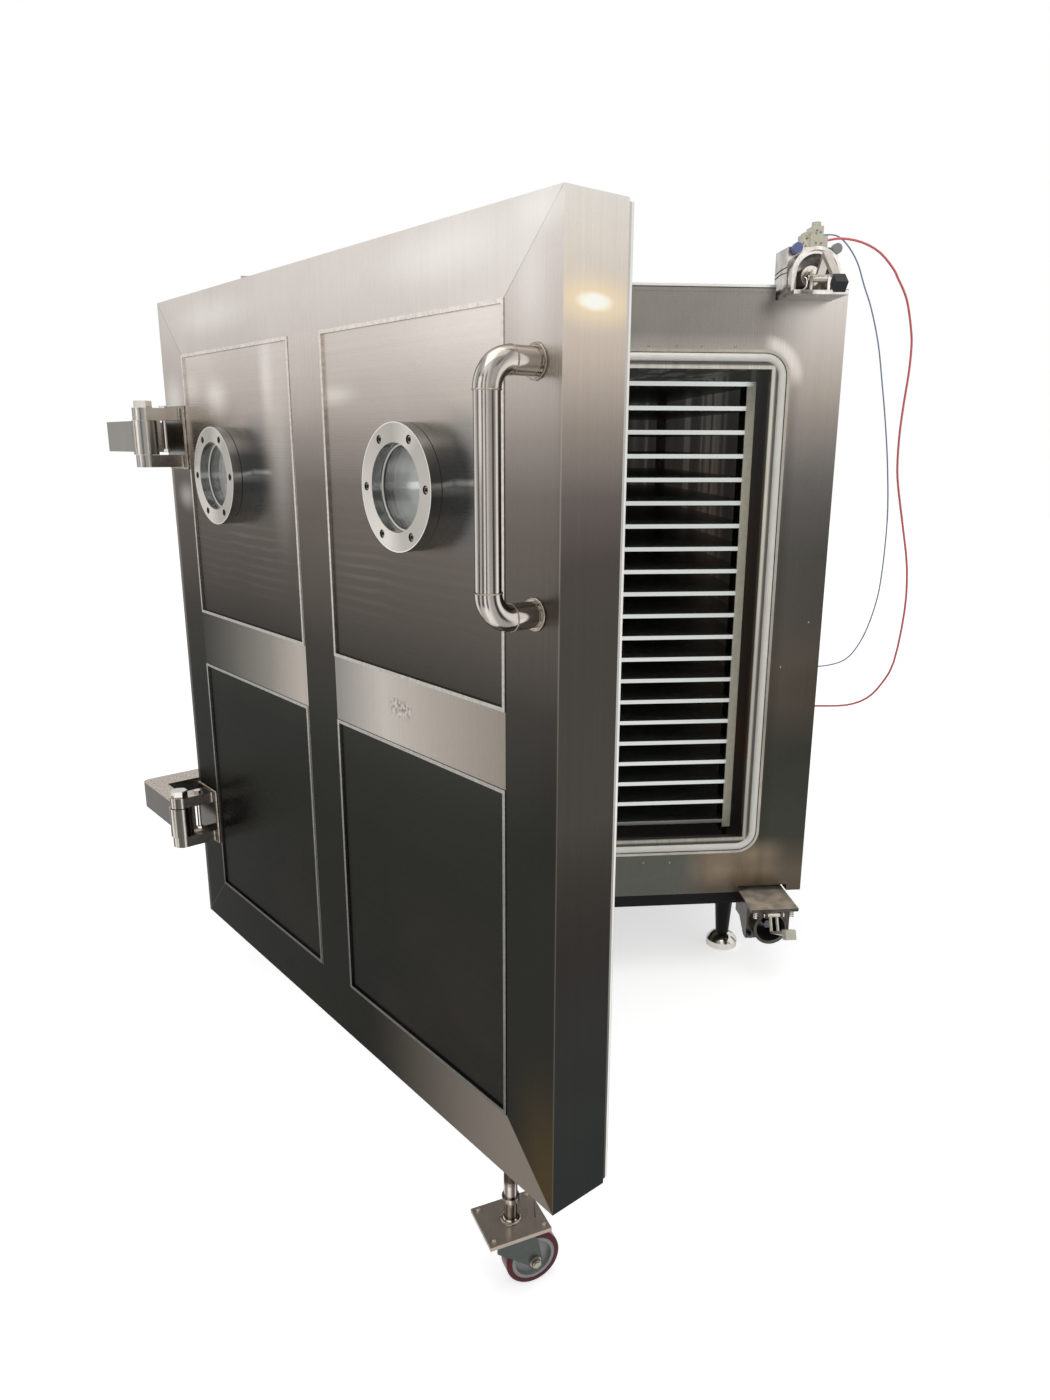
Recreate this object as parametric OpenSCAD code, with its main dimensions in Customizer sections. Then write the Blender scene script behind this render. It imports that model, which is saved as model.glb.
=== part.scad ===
// Walk-up vacuum freeze dryer: an insulated shelf chamber with its hinged, castered door.
// Millimetres. X runs along the front, Y to the back, Z up. The origin is the middle of the
// front right foot's underside. Every piece is drawn closed and in chamber coordinates
// (x = 0 on the centre plane, y = 0 on the front face, z = 0 on the floor), then placed.

/* [Chamber] */
// Width of the clad chamber
chamber_w = 1600; // [1560:10:1660]
// Height of the clad chamber
chamber_h = 1760; // [1720:10:1800]
// Depth of the clad chamber
chamber_d = 1400; // [1380:10:1500]
// Height of the chamber's underside above the floor
chamber_z = 274; // [260:2:300]
// Thickness of the foam insulation round the vessel
insulation_t = 152; // [140:2:160]

/* [Opening and seal] */
// Clear height of the opening
throat_h = 1368; // [1350:2:1380]
// Distance from the opening's sill down to the chamber's underside
sill = 186; // [180:2:196]
// Width of the silicone seal
seal_w = 24; // [20:1:26]
// How far the seal stands out of the face
seal_out = 10; // [8:0.5:12]
// Radius of the seal's corners, to its middle
seal_r = 50; // [40:1:60]

/* [Shelves] */
// Number of shelves
shelf_count = 21; // [10:1:21]
// Distance from one shelf to the next
shelf_pitch = 65.7; // [60:0.1:66]
// Thickness of a shelf
shelf_t = 12; // [8:1:16]

/* [Door] */
// Width of the door
door_w = 1467; // [1440:1:1480]
// Height of the door
door_h = 1600; // [1580:2:1610]
// Height of the door's bottom edge above the floor
door_z = 356; // [350:1:362]
// Depth of the door's casing
casing_t = 120; // [110:1:130]
// Thickness of the inner liner plate
liner_t = 10; // [8:1:12]
// Width of the border round the door's face
border = 125; // [110:1:135]
// Width of the upright strip between the panels
strip_w = 127; // [110:1:140]
// Height of the cross strips between the panels
rail_h = 130; // [110:2:150]
// Width of the bead round each panel
bead_w = 7; // [5:1:14]
// How far the door stands open here
door_open = 55.35; // [0:0.05:110]

/* [Sight glasses] */
// Distance of each sight glass from the door's centre line
sight_x = 372; // [340:1:390]
// Height of the sight glasses above the door's bottom edge
sight_z = 1204; // [1150:1:1250]
// Outside diameter of the rings
ring_d = 210; // [200:1:220]
// Clear diameter
sight_d = 145; // [130:1:150]

/* [Handle] */
// Distance of the handle from the door's free edge
handle_in = 55; // [50:1:70]
// Height of the handle's middle above the door's bottom edge
handle_z = 1208; // [1100:1:1250]
// Distance between the handle's two ends
handle_span = 354; // [300:2:400]
// Distance from the face to the grip's middle
handle_out = 86; // [75:1:100]

/* [Hinges] */
// Height of the lower hinge above the door's bottom edge; the upper one mirrors it
hinge_v = 313.5; // [280:0.5:340]
// Distance of the door pins from the hinge edge
pin_in = 80; // [75:1:90]
// Distance of the door pins in front of the face
pin_out = 85; // [80:1:90]
// Distance of the chamber pins outside the chamber's side
swing_out = 53; // [50:1:60]
// Distance of the chamber pins behind the front face
swing_back = 90; // [85:1:100]

/* [Caster] */
// Distance of the caster column from the door's hinge edge
column_u = 1256; // [1200:1:1300]
// Diameter of the wheel
wheel_d = 114; // [100:1:116]
// Trail of the wheel behind the swivel axis
trail = 42; // [36:1:44]
// Angle at which the caster is turned
caster_turn = 16; // [0:1:40]

/* [Clamps] */
// Distance of the clamps from the chamber's side
clamp_in = 123; // [118:1:130]
// Length of the clamp fingers, from the pivot to the tip
finger_l = 142; // [138:1:150]
// How far the upper finger is swung open here
upper_rest = 50; // [0:1:85]
// How far the lower finger is swung open here
lower_rest = 65; // [0:1:85]

/* [Hidden] */
$fn = 48;

sheet = 3;              // cladding and door sheet
fit = 0.3;              // gap between pieces that only meet
run = 0.05;             // radial running clearance of pins
closed_gap = seal_out + fit;

// Opening and its frame
throat_w = chamber_w - 2 * insulation_t - 92;
lip = 18;               // throat frame, from the opening out to the seal
channel_lip = 8;
throat_z = chamber_z + sill;
seal_in_w = throat_w + 2 * lip;
seal_in_h = throat_h + 2 * lip;
seal_in_z = throat_z - lip;

// Vessel
vessel_wall = 8;
vessel_w = chamber_w - 2 * insulation_t;
vessel_z = throat_z - 38;
vessel_h = throat_h + 68;
vessel_y = 20;
vessel_d = chamber_d - 80;
flange_over = 98;
flange_w = throat_w + 2 * flange_over;
port_z = throat_z + throat_h / 2;
port_pipe_r = 109.5;
port_bore_r = 105.5;
port_flange_r = 170;
port_flange_t = 24;
port_pcd = 295;
port_y = chamber_d + 80;

// Shelves and rack
rack_w = vessel_w - 120;
shelf_d = vessel_d - 170;
rack_y = 85;
rack_t = 12;
shelf_z0 = throat_z + 20;
post_w = 25;
post_t = 60;
strip_t = 4;
header_x = rack_w / 2 - 188;
header_r = 24;
header_y = vessel_d - 40;
tail_z = throat_z + 120;   // header tails through the rear wall
shelf_top = shelf_z0 + shelf_pitch * (shelf_count - 1);

// Base
foot_x = chamber_w / 2 - 188;
foot_y = 175;
foot_r = 50;
foot_h = 46;
frame_z = chamber_z - 80;
rear_foot_y = chamber_d - 177;
base_half = chamber_w / 2 - 40;

// Door
door_t = casing_t + sheet + liner_t;
panel_w = (door_w - 2 * border - strip_w) / 2;
panel_h = (door_h - 2 * border - rail_h) / 2;
panel_x = [border, border + panel_w + strip_w];
panel_z = [border, border + panel_h + rail_h];
sight_u = [door_w / 2 - sight_x, door_w / 2 + sight_x];
neck_r = sight_d / 2 + 9;
ring_t = 20;
gasket_t = 2;
glass_t = 12;
screw_r = ring_d / 2 - 16;

// Handle
grip_r = 19;
bend_r = 40;

// Hinges
barrel_r = 28.5;
barrel_h = 78;
knuckle_t = 28;
knuckle_gap = 1;
knuckle_r = 25;
hinge_h = barrel_h + 2 * (knuckle_gap + knuckle_t);
pin_r = 12;
arm_h = 72;
arm_in = 38;            // arm's inner face, behind the pin's centre
arm_out = 8;            // arm's outer face, in front of the pin's centre
arm_end = 270;          // arm's outer face, outboard of the pin
arm_bar = 75;
swing_x = -chamber_w / 2 - swing_out;
pin_x = -door_w / 2 + pin_in;
pin_y = -closed_gap - door_t - pin_out;
hinge_z = [door_z + hinge_v, door_z + door_h - hinge_v];
boss_r = 32;
stop_w = 37.5;          // stop bolt, in front of the face

// Caster
column_w = 78;
column_r = 13.5;
plate_z = 146;
plate_t = 8;
wheel_r = wheel_d / 2;
wheel_t = 36;
axle_r = 6;
hub_r = wheel_r - 11;

// Clamps, each drawn outwards from its base plate's door side: z is away from the door
clamp_x = chamber_w / 2 - clamp_in;
clamp_top = chamber_z + chamber_h;
upper_base = clamp_top - 31;
lower_base = chamber_z;
notch_w = 155;
notch_d = 60;
plate_w = 146;
plate_h = 10;
plate_y = -125;
body_w = 136;
body_y = -50;
mouth_r = 50;
mouth_y = -82;          // front of the upper arch
upper_axis = 55;
lower_axis = 77;
upper_pivot = [-100, 41];
lower_pivot = [-112, 24];
pivot_r = 5;
hub_half = 19.5;
finger_y = -164.3;      // middle of the closed finger, in front of the door's face
pad_w = 30;
pad_t = 28;
pad_l = 34;
bar_w = 20;             // upper finger's flat bar
bar_t = 12;
rod_x = 10;             // lower finger's two rods, each side of its middle
valve_z = upper_base + upper_axis + body_w / 2 + 1;

// Air tubes: hand-laid points in chamber coordinates
red_r = 3;
blue_r = 2;
union_y = 200;
red_end_z = 820;
blue_end_z = 950;
red_points = [
    [clamp_x + 41, -8, 2150], [762, -14, 2156], [822, -8, 2149], [878, 0, 2126],
    [921, 4, 2087], [938, 9, 2065], [962, 15, 2032], [979, 20, 1998], [998, 28, 1938],
    [1008, 36, 1894], [1012, 45, 1826], [1010, 54, 1737], [1011, 63, 1652], [1019, 72, 1560],
    [1036, 81, 1488], [1063, 90, 1390], [1092, 98, 1269], [1103, 108, 1138],
    [1096, 130, 974], [1070, 150, 896], [1036, 168, 848], [983, 188, 822],
    [900, 198, 818], [chamber_w / 2 + 28, 200, red_end_z]
];
blue_points = [
    [clamp_x + 31, 10, 2167], [759, 20, 2170], [796, 30, 2151], [834, 40, 2108],
    [862, 47, 2050], [892, 56, 1992], [928, 72, 1902], [957, 86, 1793], [983, 100, 1690],
    [1009, 113, 1559], [1029, 126, 1408], [1036, 146, 1224], [1026, 160, 1120],
    [1002, 174, 1032], [964, 188, 972], [900, 198, 950], [chamber_w / 2 + 28, 200, blue_end_z]
];

// ---- Placing ----

// Chamber coordinates to the part's frame
module in_place() {
    translate([-foot_x, -foot_y, 0]) children();
}

// Swings closed-door geometry about the chamber pins to where the door stands
module swung() {
    in_place()
        translate([swing_x, swing_back, 0])
            rotate([0, 0, -door_open])
                translate([-swing_x, -swing_back, 0])
                    children();
}

// Door coordinates: u from the hinge edge, w in from the face, v up from the bottom edge
module on_door() {
    swung()
        translate([-door_w / 2, -closed_gap - door_t, door_z])
            children();
}

// Caster coordinates: the swivel axis is the origin, the trail runs along +Y
module at_caster() {
    on_door()
        translate([column_u, column_w, -door_z])
            rotate([0, 0, -caster_turn])
                children();
}

// Clamp coordinates, above the chamber and upside down below it
module at_upper_clamp() {
    in_place() translate([clamp_x, 0, upper_base]) children();
}

module at_lower_clamp() {
    in_place() translate([clamp_x, 0, lower_base]) mirror([0, 0, 1]) children();
}

// ---- Shapes ----

// Upright plate with rounded corners, centred on x, from z0 up, between y0 and y1
module round_plate(w, h, z0, r, y0, y1) {
    translate([0, y1, z0 + h / 2])
        rotate([90, 0, 0])
            linear_extrude(y1 - y0)
                union() {
                    square([w - 2 * r, h], center = true);
                    square([w, h - 2 * r], center = true);
                    for (sx = [-1, 1], sz = [-1, 1])
                        translate([sx * (w / 2 - r), sz * (h / 2 - r)])
                            circle(r);
                }
}

// Upright rounded ring: inner size w by h, rim wide
module round_ring(w, h, z0, r, rim, y0, y1) {
    difference() {
        round_plate(w + 2 * rim, h + 2 * rim, z0 - rim, r + rim, y0, y1);
        round_plate(w, h, z0, r, y0 - 1, y1 + 1);
    }
}

// Rod along Y from y0 to y1
module rod_y(r, y0, y1) {
    translate([0, y1, 0]) rotate([90, 0, 0]) cylinder(h = y1 - y0, r = r);
}

// Hexagonal head or nut, across flats af
module hexagon(af, h) {
    cylinder(h = h, d = af / cos(30), $fn = 6);
}

// ---- Chamber ----

module vessel() {
    color("silver")
        in_place()
            difference() {
                union() {
                    translate([-vessel_w / 2 - vessel_wall, vessel_y - 1, vessel_z])
                        cube([vessel_w + 2 * vessel_wall, vessel_d - vessel_y + 1, vessel_h]);
                    translate([-flange_w / 2, sheet, throat_z - flange_over])
                        cube([flange_w, vessel_y - sheet, throat_h + 2 * flange_over]);
                    round_plate(seal_in_w, seal_in_h, seal_in_z, seal_r - seal_w / 2, -4, sheet + 1);
                }
                translate([-throat_w / 2, -10, throat_z])
                    cube([throat_w, vessel_y + 11, throat_h]);
                translate([-vessel_w / 2, vessel_y, vessel_z + vessel_wall])
                    cube([vessel_w, vessel_d - vessel_y - vessel_wall, vessel_h - 2 * vessel_wall]);
                translate([0, 0, port_z]) rod_y(port_bore_r, vessel_d - 20, vessel_d + 1);
                for (sx = [-1, 1])
                    translate([sx * header_x, 0, tail_z])
                        rod_y(header_r + fit, vessel_d - 20, vessel_d + 1);
            }
}

module seal_channel() {
    color("gainsboro")
        in_place()
            round_ring(seal_in_w + 2 * seal_w, seal_in_h + 2 * seal_w, seal_in_z - seal_w,
                seal_r + seal_w / 2, channel_lip, -6, sheet);
}

// Half-round silicone bead laid round the opening
module door_seal() {
    r = seal_w / 2 - fit;
    w = seal_in_w + seal_w;
    h = seal_in_h + seal_w;
    flat = seal_out - r;
    color("white")
        in_place()
            translate([0, 0, seal_in_z - seal_w / 2]) {
                for (sz = [0, 1])
                    translate([-w / 2 + seal_r, 0, sz * h])
                        rotate([90, 0, 90])
                            linear_extrude(w - 2 * seal_r)
                                bead_profile(r, flat);
                for (sx = [-1, 1])
                    translate([sx * w / 2, 0, seal_r])
                        linear_extrude(h - 2 * seal_r)
                            rotate([0, 0, 90])
                                bead_profile(r, flat);
                for (sx = [0, 1], sz = [0, 1])
                    translate([(2 * sx - 1) * (w / 2 - seal_r), 0, seal_r + sz * (h - 2 * seal_r)])
                        rotate([90, 0, 0])
                            rotate([0, 0, sx == 1 ? (sz == 1 ? 0 : -90) : (sz == 1 ? 90 : 180)])
                                rotate_extrude(angle = 90)
                                    translate([seal_r, 0])
                                        rotate([0, 0, 90])
                                            mirror([0, 1])
                                                mirror([1, 0])
                                                    bead_profile(r, flat);
            }
}

// Seal section: x is depth from the face to the back, y is across
module bead_profile(r, flat) {
    intersection() {
        translate([-flat, 0]) circle(r);
        translate([-seal_out - 1, -r - 1]) square([seal_out + 1 + sheet, 2 * r + 2]);
    }
}

// Recesses the clamps' base plates sit in, at the top and bottom of the front
module clamp_notches(depth) {
    translate([clamp_x - notch_w / 2, -1, upper_base])
        cube([notch_w, depth + 1, clamp_top - upper_base + 10]);
    translate([clamp_x - notch_w / 2, -1, chamber_z - 1])
        cube([notch_w, depth + 1, 21]);
}

module insulation() {
    color("khaki")
        in_place()
            difference() {
                translate([-chamber_w / 2 + sheet, sheet, chamber_z + sheet])
                    cube([chamber_w - 2 * sheet, chamber_d - 2 * sheet, chamber_h - 2 * sheet]);
                translate([-flange_w / 2, 0, throat_z - flange_over])
                    cube([flange_w, vessel_y, throat_h + 2 * flange_over]);
                translate([-vessel_w / 2 - vessel_wall, 0, vessel_z])
                    cube([vessel_w + 2 * vessel_wall, vessel_d, vessel_h]);
                translate([0, 0, port_z]) rod_y(port_pipe_r + fit, vessel_d - 1, chamber_d);
                for (sx = [-1, 1])
                    translate([sx * header_x, 0, tail_z])
                        rod_y(header_r + fit, vessel_d - 1, chamber_d);
                clamp_notches(notch_d);
            }
}

module front_cladding() {
    color("lightgray")
        in_place()
            difference() {
                union() {
                    translate([-chamber_w / 2, 0, chamber_z])
                        cube([chamber_w, sheet, chamber_h]);
                    translate([-chamber_w / 2, -1.5, clamp_top - 11])
                        cube([chamber_w / 2 + clamp_x - notch_w / 2, sheet, 19]);
                }
                round_plate(seal_in_w + 2 * seal_w + 2 * channel_lip + 2 * fit,
                    seal_in_h + 2 * seal_w + 2 * channel_lip + 2 * fit,
                    seal_in_z - seal_w - channel_lip - fit,
                    seal_r + seal_w / 2 + channel_lip + fit, -1, sheet + 1);
                clamp_notches(sheet + 1);
            }
}

module side_cladding() {
    color("lightgray")
        in_place()
            difference() {
                translate([-chamber_w / 2, sheet, chamber_z])
                    cube([chamber_w, chamber_d - sheet, chamber_h]);
                translate([-chamber_w / 2 + sheet, 0, chamber_z + sheet])
                    cube([chamber_w - 2 * sheet, chamber_d + 1, chamber_h - 2 * sheet]);
                clamp_notches(notch_d);
            }
}

module rear_cladding() {
    color("lightgray")
        in_place()
            difference() {
                translate([-chamber_w / 2 + sheet, chamber_d - sheet, chamber_z + sheet])
                    cube([chamber_w - 2 * sheet, sheet, chamber_h - 2 * sheet]);
                translate([0, 0, port_z]) rod_y(port_pipe_r + fit, chamber_d - 5, chamber_d + 1);
                for (sx = [-1, 1])
                    translate([sx * header_x, 0, tail_z])
                        rod_y(header_r + fit, chamber_d - 5, chamber_d + 1);
            }
}

// ---- Shelf rack ----

// Shelf outline, notched round the four posts unless it caps them
module shelf_outline(notched) {
    difference() {
        translate([-rack_w / 2, 0]) square([rack_w, shelf_d]);
        if (notched)
            for (sx = [-1, 1]) {
                translate([sx * (rack_w / 2 - post_w / 2) - post_w / 2, -1])
                    square([post_w, post_t + strip_t + 1]);
                translate([sx * (rack_w / 2 - post_w / 2) - post_w / 2, shelf_d - post_t])
                    square([post_w, post_t + 1]);
            }
    }
}

module shelves() {
    color("whitesmoke")
        in_place()
            for (k = [0 : shelf_count - 1])
                translate([0, rack_y, shelf_z0 + k * shelf_pitch - shelf_t / 2])
                    linear_extrude(shelf_t)
                        shelf_outline(k < shelf_count - 1);
}

module rack_posts() {
    post_h = shelf_top - shelf_t / 2 - vessel_z - vessel_wall;
    color("gray")
        in_place()
            for (sx = [-1, 1], back = [0, 1])
                translate([sx * (rack_w / 2 - post_w / 2), rack_y + strip_t + post_t / 2
                    + back * (shelf_d - post_t - strip_t), vessel_z + vessel_wall]) {
                    translate([-post_w / 2, -post_t / 2, 30])
                        cube([post_w, post_t, post_h - 30]);
                    translate([-post_w / 2 - 6, -post_t / 2, 22])
                        cube([post_w + 12, post_t, 8]);
                    for (sy = [-1, 1])
                        translate([0, sy * 18, 0]) cylinder(h = 23, r = 7);
                }
}

module post_strips() {
    color("ivory")
        in_place()
            for (sx = [-1, 1])
                translate([sx * (rack_w / 2 - post_w / 2) - post_w / 2, rack_y,
                    vessel_z + vessel_wall + 30])
                    cube([post_w, strip_t, shelf_top - shelf_t / 2 - vessel_z - vessel_wall - 30]);
}

// Two upright manifolds with a stub to every shelf and a tail through the rear wall
module fluid_headers() {
    color("silver")
        in_place()
            for (sx = [-1, 1])
                translate([sx * header_x, header_y, 0]) {
                    translate([0, 0, shelf_z0 - 30])
                        cylinder(h = shelf_top - shelf_z0 + 60, r = header_r);
                    translate([0, 0, tail_z]) rod_y(header_r, 0, port_y - header_y - 30);
                    for (k = [0 : shelf_count - 1])
                        translate([0, 0, shelf_z0 + k * shelf_pitch])
                            rod_y(5, rack_y + shelf_d - header_y, 0, $fn = 16);
                }
}

module vacuum_port() {
    color("silver")
        in_place()
            translate([0, 0, port_z])
                difference() {
                    union() {
                        rod_y(port_pipe_r, vessel_d, port_y);
                        rod_y(port_flange_r, port_y - port_flange_t, port_y);
                    }
                    rod_y(port_bore_r, vessel_d - 1, port_y + 1);
                    for (i = [0 : 7])
                        rotate([0, 22.5 + i * 45, 0])
                            translate([port_pcd / 2, 0, 0])
                                rod_y(11, port_y - port_flange_t - 1, port_y + 1);
                }
}

// ---- Base ----

module base_frame() {
    beam = 100;
    front = 130;
    color("dimgray")
        in_place()
            translate([0, 0, frame_z]) {
                for (sx = [-1, 1])
                    translate([sx * foot_x - beam / 2, rack_y, 0])
                        cube([beam, chamber_d - 60 - rack_y, chamber_z - frame_z]);
                for (y = [rack_y, (chamber_d - front) / 2, chamber_d - 60 - front])
                    translate([-base_half, y, 0])
                        cube([2 * base_half, front, chamber_z - frame_z]);
            }
}

module each_foot() {
    for (sx = [-1, 1], y = [foot_y, rear_foot_y])
        translate([sx * foot_x, y, 0]) children();
}

module leg_sleeves() {
    color("black")
        in_place()
            each_foot()
                translate([0, 0, foot_h])
                    cylinder(h = frame_z - foot_h, r1 = 21, r2 = 31);
}

// Domed foot: a low cylinder under a spherical cap with a flat for the leg
module levelling_feet() {
    dome_r = 58;
    color("silver")
        in_place()
            each_foot()
                intersection() {
                    translate([0, 0, foot_h + 4 - dome_r]) sphere(dome_r);
                    cylinder(h = foot_h, r = foot_r);
                }
}

// ---- Hinges ----

module each_hinge() {
    for (z = hinge_z) translate([0, 0, z]) children();
}

// Chamber side: a plate on the chamber's side with a lug above and below the arm
module hinge_brackets() {
    plate = 12;
    lug_z = barrel_h / 2 + knuckle_gap;
    side = -chamber_w / 2;
    color("silver")
        in_place()
            each_hinge()
                difference() {
                    union() {
                        translate([side - plate, 20, -lug_z - knuckle_t - 4])
                            cube([plate, 180, 2 * (lug_z + knuckle_t + 4)]);
                        for (z = [-lug_z - knuckle_t, lug_z]) {
                            translate([swing_x, swing_back - boss_r, z])
                                cube([swing_out - plate + 1, 2 * boss_r, knuckle_t]);
                            translate([swing_x, swing_back, z])
                                cylinder(h = knuckle_t, r = boss_r);
                        }
                    }
                    translate([swing_x, swing_back, 0])
                        cylinder(h = hinge_h + 20, r = pin_r + run, center = true);
                }
}

module hinge_pin() {
    half = barrel_h / 2 + knuckle_gap + knuckle_t;
    translate([0, 0, -half]) cylinder(h = 2 * half + 1, r = pin_r);
    translate([0, 0, half]) hexagon(36, 16);
}

module bracket_pins() {
    color("silver")
        in_place()
            each_hinge()
                translate([swing_x, swing_back, 0]) hinge_pin();
}

// Cranked arm, drawn with the door closed, its top flush with the barrels
module hinge_arm(z) {
    outer = pin_x - arm_end;
    round = 22;
    color("silver")
        swung()
            translate([0, 0, z])
                difference() {
                    union() {
                        translate([0, 0, barrel_h / 2 - arm_h])
                            linear_extrude(arm_h)
                                union() {
                                    translate([outer + round, pin_y - arm_out])
                                        square([arm_end - round, arm_out + arm_in]);
                                    translate([outer, pin_y - arm_out + round])
                                        square([arm_bar, swing_back - 45 - pin_y + arm_out - round]);
                                    translate([outer + round, pin_y - arm_out + round])
                                        circle(round);
                                    polygon([
                                        [outer, swing_back - 46],
                                        [outer + arm_bar, swing_back - 46],
                                        [swing_x + boss_r, swing_back],
                                        [swing_x - boss_r, swing_back + 4]
                                    ]);
                                }
                        translate([pin_x, pin_y, -barrel_h / 2])
                            cylinder(h = barrel_h, r = barrel_r);
                        translate([swing_x, swing_back, -barrel_h / 2])
                            cylinder(h = barrel_h, r = boss_r);
                    }
                    for (p = [[pin_x, pin_y], [swing_x, swing_back]])
                        translate([p[0], p[1], 0])
                            cylinder(h = hinge_h, r = pin_r + run, center = true);
                }
}

module upper_hinge_arm() { hinge_arm(hinge_z[1]); }
module lower_hinge_arm() { hinge_arm(hinge_z[0]); }

module each_leaf() {
    on_door()
        for (z = hinge_z)
            translate([pin_in, 0, z - door_z]) children();
}

module hinge_leaves() {
    lug_z = barrel_h / 2 + knuckle_gap;
    plate = 8;
    color("silver")
        each_leaf()
            difference() {
                union() {
                    translate([10 - pin_in, -plate, -71]) cube([110, plate, 142]);
                    for (z = [-lug_z - knuckle_t, lug_z]) {
                        translate([-knuckle_r, -pin_out, z])
                            cube([2 * knuckle_r, pin_out - plate + 1, knuckle_t]);
                        translate([0, -pin_out, z]) cylinder(h = knuckle_t, r = knuckle_r);
                    }
                }
                translate([0, -pin_out, 0]) cylinder(h = hinge_h + 20, r = pin_r + run, center = true);
                translate([0, -stop_w, lug_z - 1]) cylinder(h = knuckle_t + 2, r = 5 + run);
            }
}

module hinge_pins() {
    color("silver") each_leaf() translate([0, -pin_out, 0]) hinge_pin();
}

module hinge_stop_bolts() {
    lug_z = barrel_h / 2 + knuckle_gap;
    color("silver")
        each_leaf()
            translate([0, -stop_w, 0]) {
                translate([0, 0, -30]) cylinder(h = lug_z + knuckle_t + 30, r = 5);
                translate([0, 0, lug_z + knuckle_t]) hexagon(16, 6);
                translate([0, 0, -34]) hexagon(16, 8);
            }
}

// ---- Door ----

module casing_bores() {
    for (u = sight_u)
        translate([u, 0, sight_z]) rod_y(neck_r + fit, -1, casing_t + sheet + liner_t + 1);
}

// Welded tray: mitred border in front, four edge walls behind it
module door_casing() {
    color("lightgray")
        on_door()
            difference() {
                cube([door_w, casing_t, door_h]);
                translate([sheet, sheet, sheet])
                    cube([door_w - 2 * sheet, casing_t, door_h - 2 * sheet]);
                translate([border, -1, border])
                    cube([door_w - 2 * border, sheet + 2, door_h - 2 * border]);
            }
}

module door_strips() {
    color("gainsboro")
        on_door() {
            translate([border + panel_w, 0, border])
                cube([strip_w, sheet, door_h - 2 * border]);
            for (u = panel_x)
                translate([u, 0, border + panel_h]) cube([panel_w, sheet, rail_h]);
        }
}

module face_panel(col, row) {
    color("darkgray")
        on_door()
            difference() {
                translate([panel_x[col], sheet, panel_z[row]]) cube([panel_w, sheet, panel_h]);
                casing_bores();
            }
}

module upper_left_panel() { face_panel(0, 1); }
module upper_right_panel() { face_panel(1, 1); }
module lower_left_panel() { face_panel(0, 0); }
module lower_right_panel() { face_panel(1, 0); }

module panel_beads() {
    color("white")
        on_door()
            for (u = panel_x, v = panel_z)
                translate([u, 0, v])
                    difference() {
                        translate([fit, -1.5, fit])
                            cube([panel_w - 2 * fit, sheet + 1.5, panel_h - 2 * fit]);
                        translate([bead_w, -2, bead_w])
                            cube([panel_w - 2 * bead_w, sheet + 3, panel_h - 2 * bead_w]);
                    }
}

module door_core() {
    color("khaki")
        on_door()
            difference() {
                translate([sheet, sheet, sheet])
                    cube([door_w - 2 * sheet, casing_t - sheet, door_h - 2 * sheet]);
                for (u = panel_x, v = panel_z)
                    translate([u, 0, v]) cube([panel_w, 2 * sheet, panel_h]);
                casing_bores();
            }
}

module liner_spacer() {
    inset = 6;
    rim = 90;
    color("black")
        on_door()
            difference() {
                translate([inset, casing_t, inset])
                    cube([door_w - 2 * inset, sheet, door_h - 2 * inset]);
                translate([rim, casing_t - 1, rim])
                    cube([door_w - 2 * rim, sheet + 2, door_h - 2 * rim]);
            }
}

module door_liner() {
    inset = 4;
    color("whitesmoke")
        on_door()
            difference() {
                translate([inset, casing_t + sheet, inset])
                    cube([door_w - 2 * inset, liner_t, door_h - 2 * inset]);
                casing_bores();
            }
}

// ---- Sight glasses ----

module each_sight() {
    on_door()
        for (u = sight_u)
            translate([u, 0, sight_z]) children();
}

// Flange in front of the face with the tube that runs through the door
module sight_flanges() {
    color("silver")
        each_sight()
            difference() {
                union() {
                    rod_y(ring_d / 2, -ring_t, sheet);
                    rod_y(neck_r, -1, door_t);
                }
                rod_y(sight_d / 2, -ring_t - 1, door_t + 1);
                rod_y(sight_d / 2 + 8, -ring_t - 1, -ring_t + glass_t);
                for (i = [0 : 5])
                    rotate([0, i * 60, 0])
                        translate([screw_r, 0, 0]) rod_y(4 + run, -ring_t - 1, -4);
            }
}

module sight_gaskets() {
    color("black")
        each_sight()
            difference() {
                rod_y(ring_d / 2 - 1, -ring_t - gasket_t, -ring_t);
                rod_y(sight_d / 2 - 3, -ring_t - gasket_t - 1, -ring_t + 1);
                for (i = [0 : 5])
                    rotate([0, i * 60, 0])
                        translate([screw_r, 0, 0]) rod_y(4.5, -ring_t - gasket_t - 1, 1 - ring_t);
            }
}

module sight_glasses() {
    color("lightblue")
        each_sight() rod_y(sight_d / 2 + 8 - fit, -ring_t, -ring_t + glass_t);
}

module sight_rings() {
    front = -2 * ring_t - gasket_t;
    color("silver")
        each_sight()
            difference() {
                rod_y(ring_d / 2, front, front + ring_t);
                rod_y(sight_d / 2, front - 1, front + ring_t + 1);
                for (i = [0 : 5])
                    rotate([0, i * 60, 0])
                        translate([screw_r, 0, 0]) {
                            rod_y(4 + run, front - 1, front + ring_t + 1);
                            rod_y(7, front - 1, front + 9);
                        }
            }
}

// Socket screws, their heads sunk in the rings
module sight_screws() {
    front = -2 * ring_t - gasket_t;
    color("gray")
        each_sight()
            for (i = [0 : 5])
                rotate([0, i * 60, 0])
                    translate([screw_r, 0, 0])
                        difference() {
                            union() {
                                rod_y(4, front + 8, -6, $fn = 24);
                                rod_y(6.5, front + 1.5, front + 9, $fn = 24);
                            }
                            rod_y(3.5, front, front + 6, $fn = 6);
                        }
}

// ---- Handle ----

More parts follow.
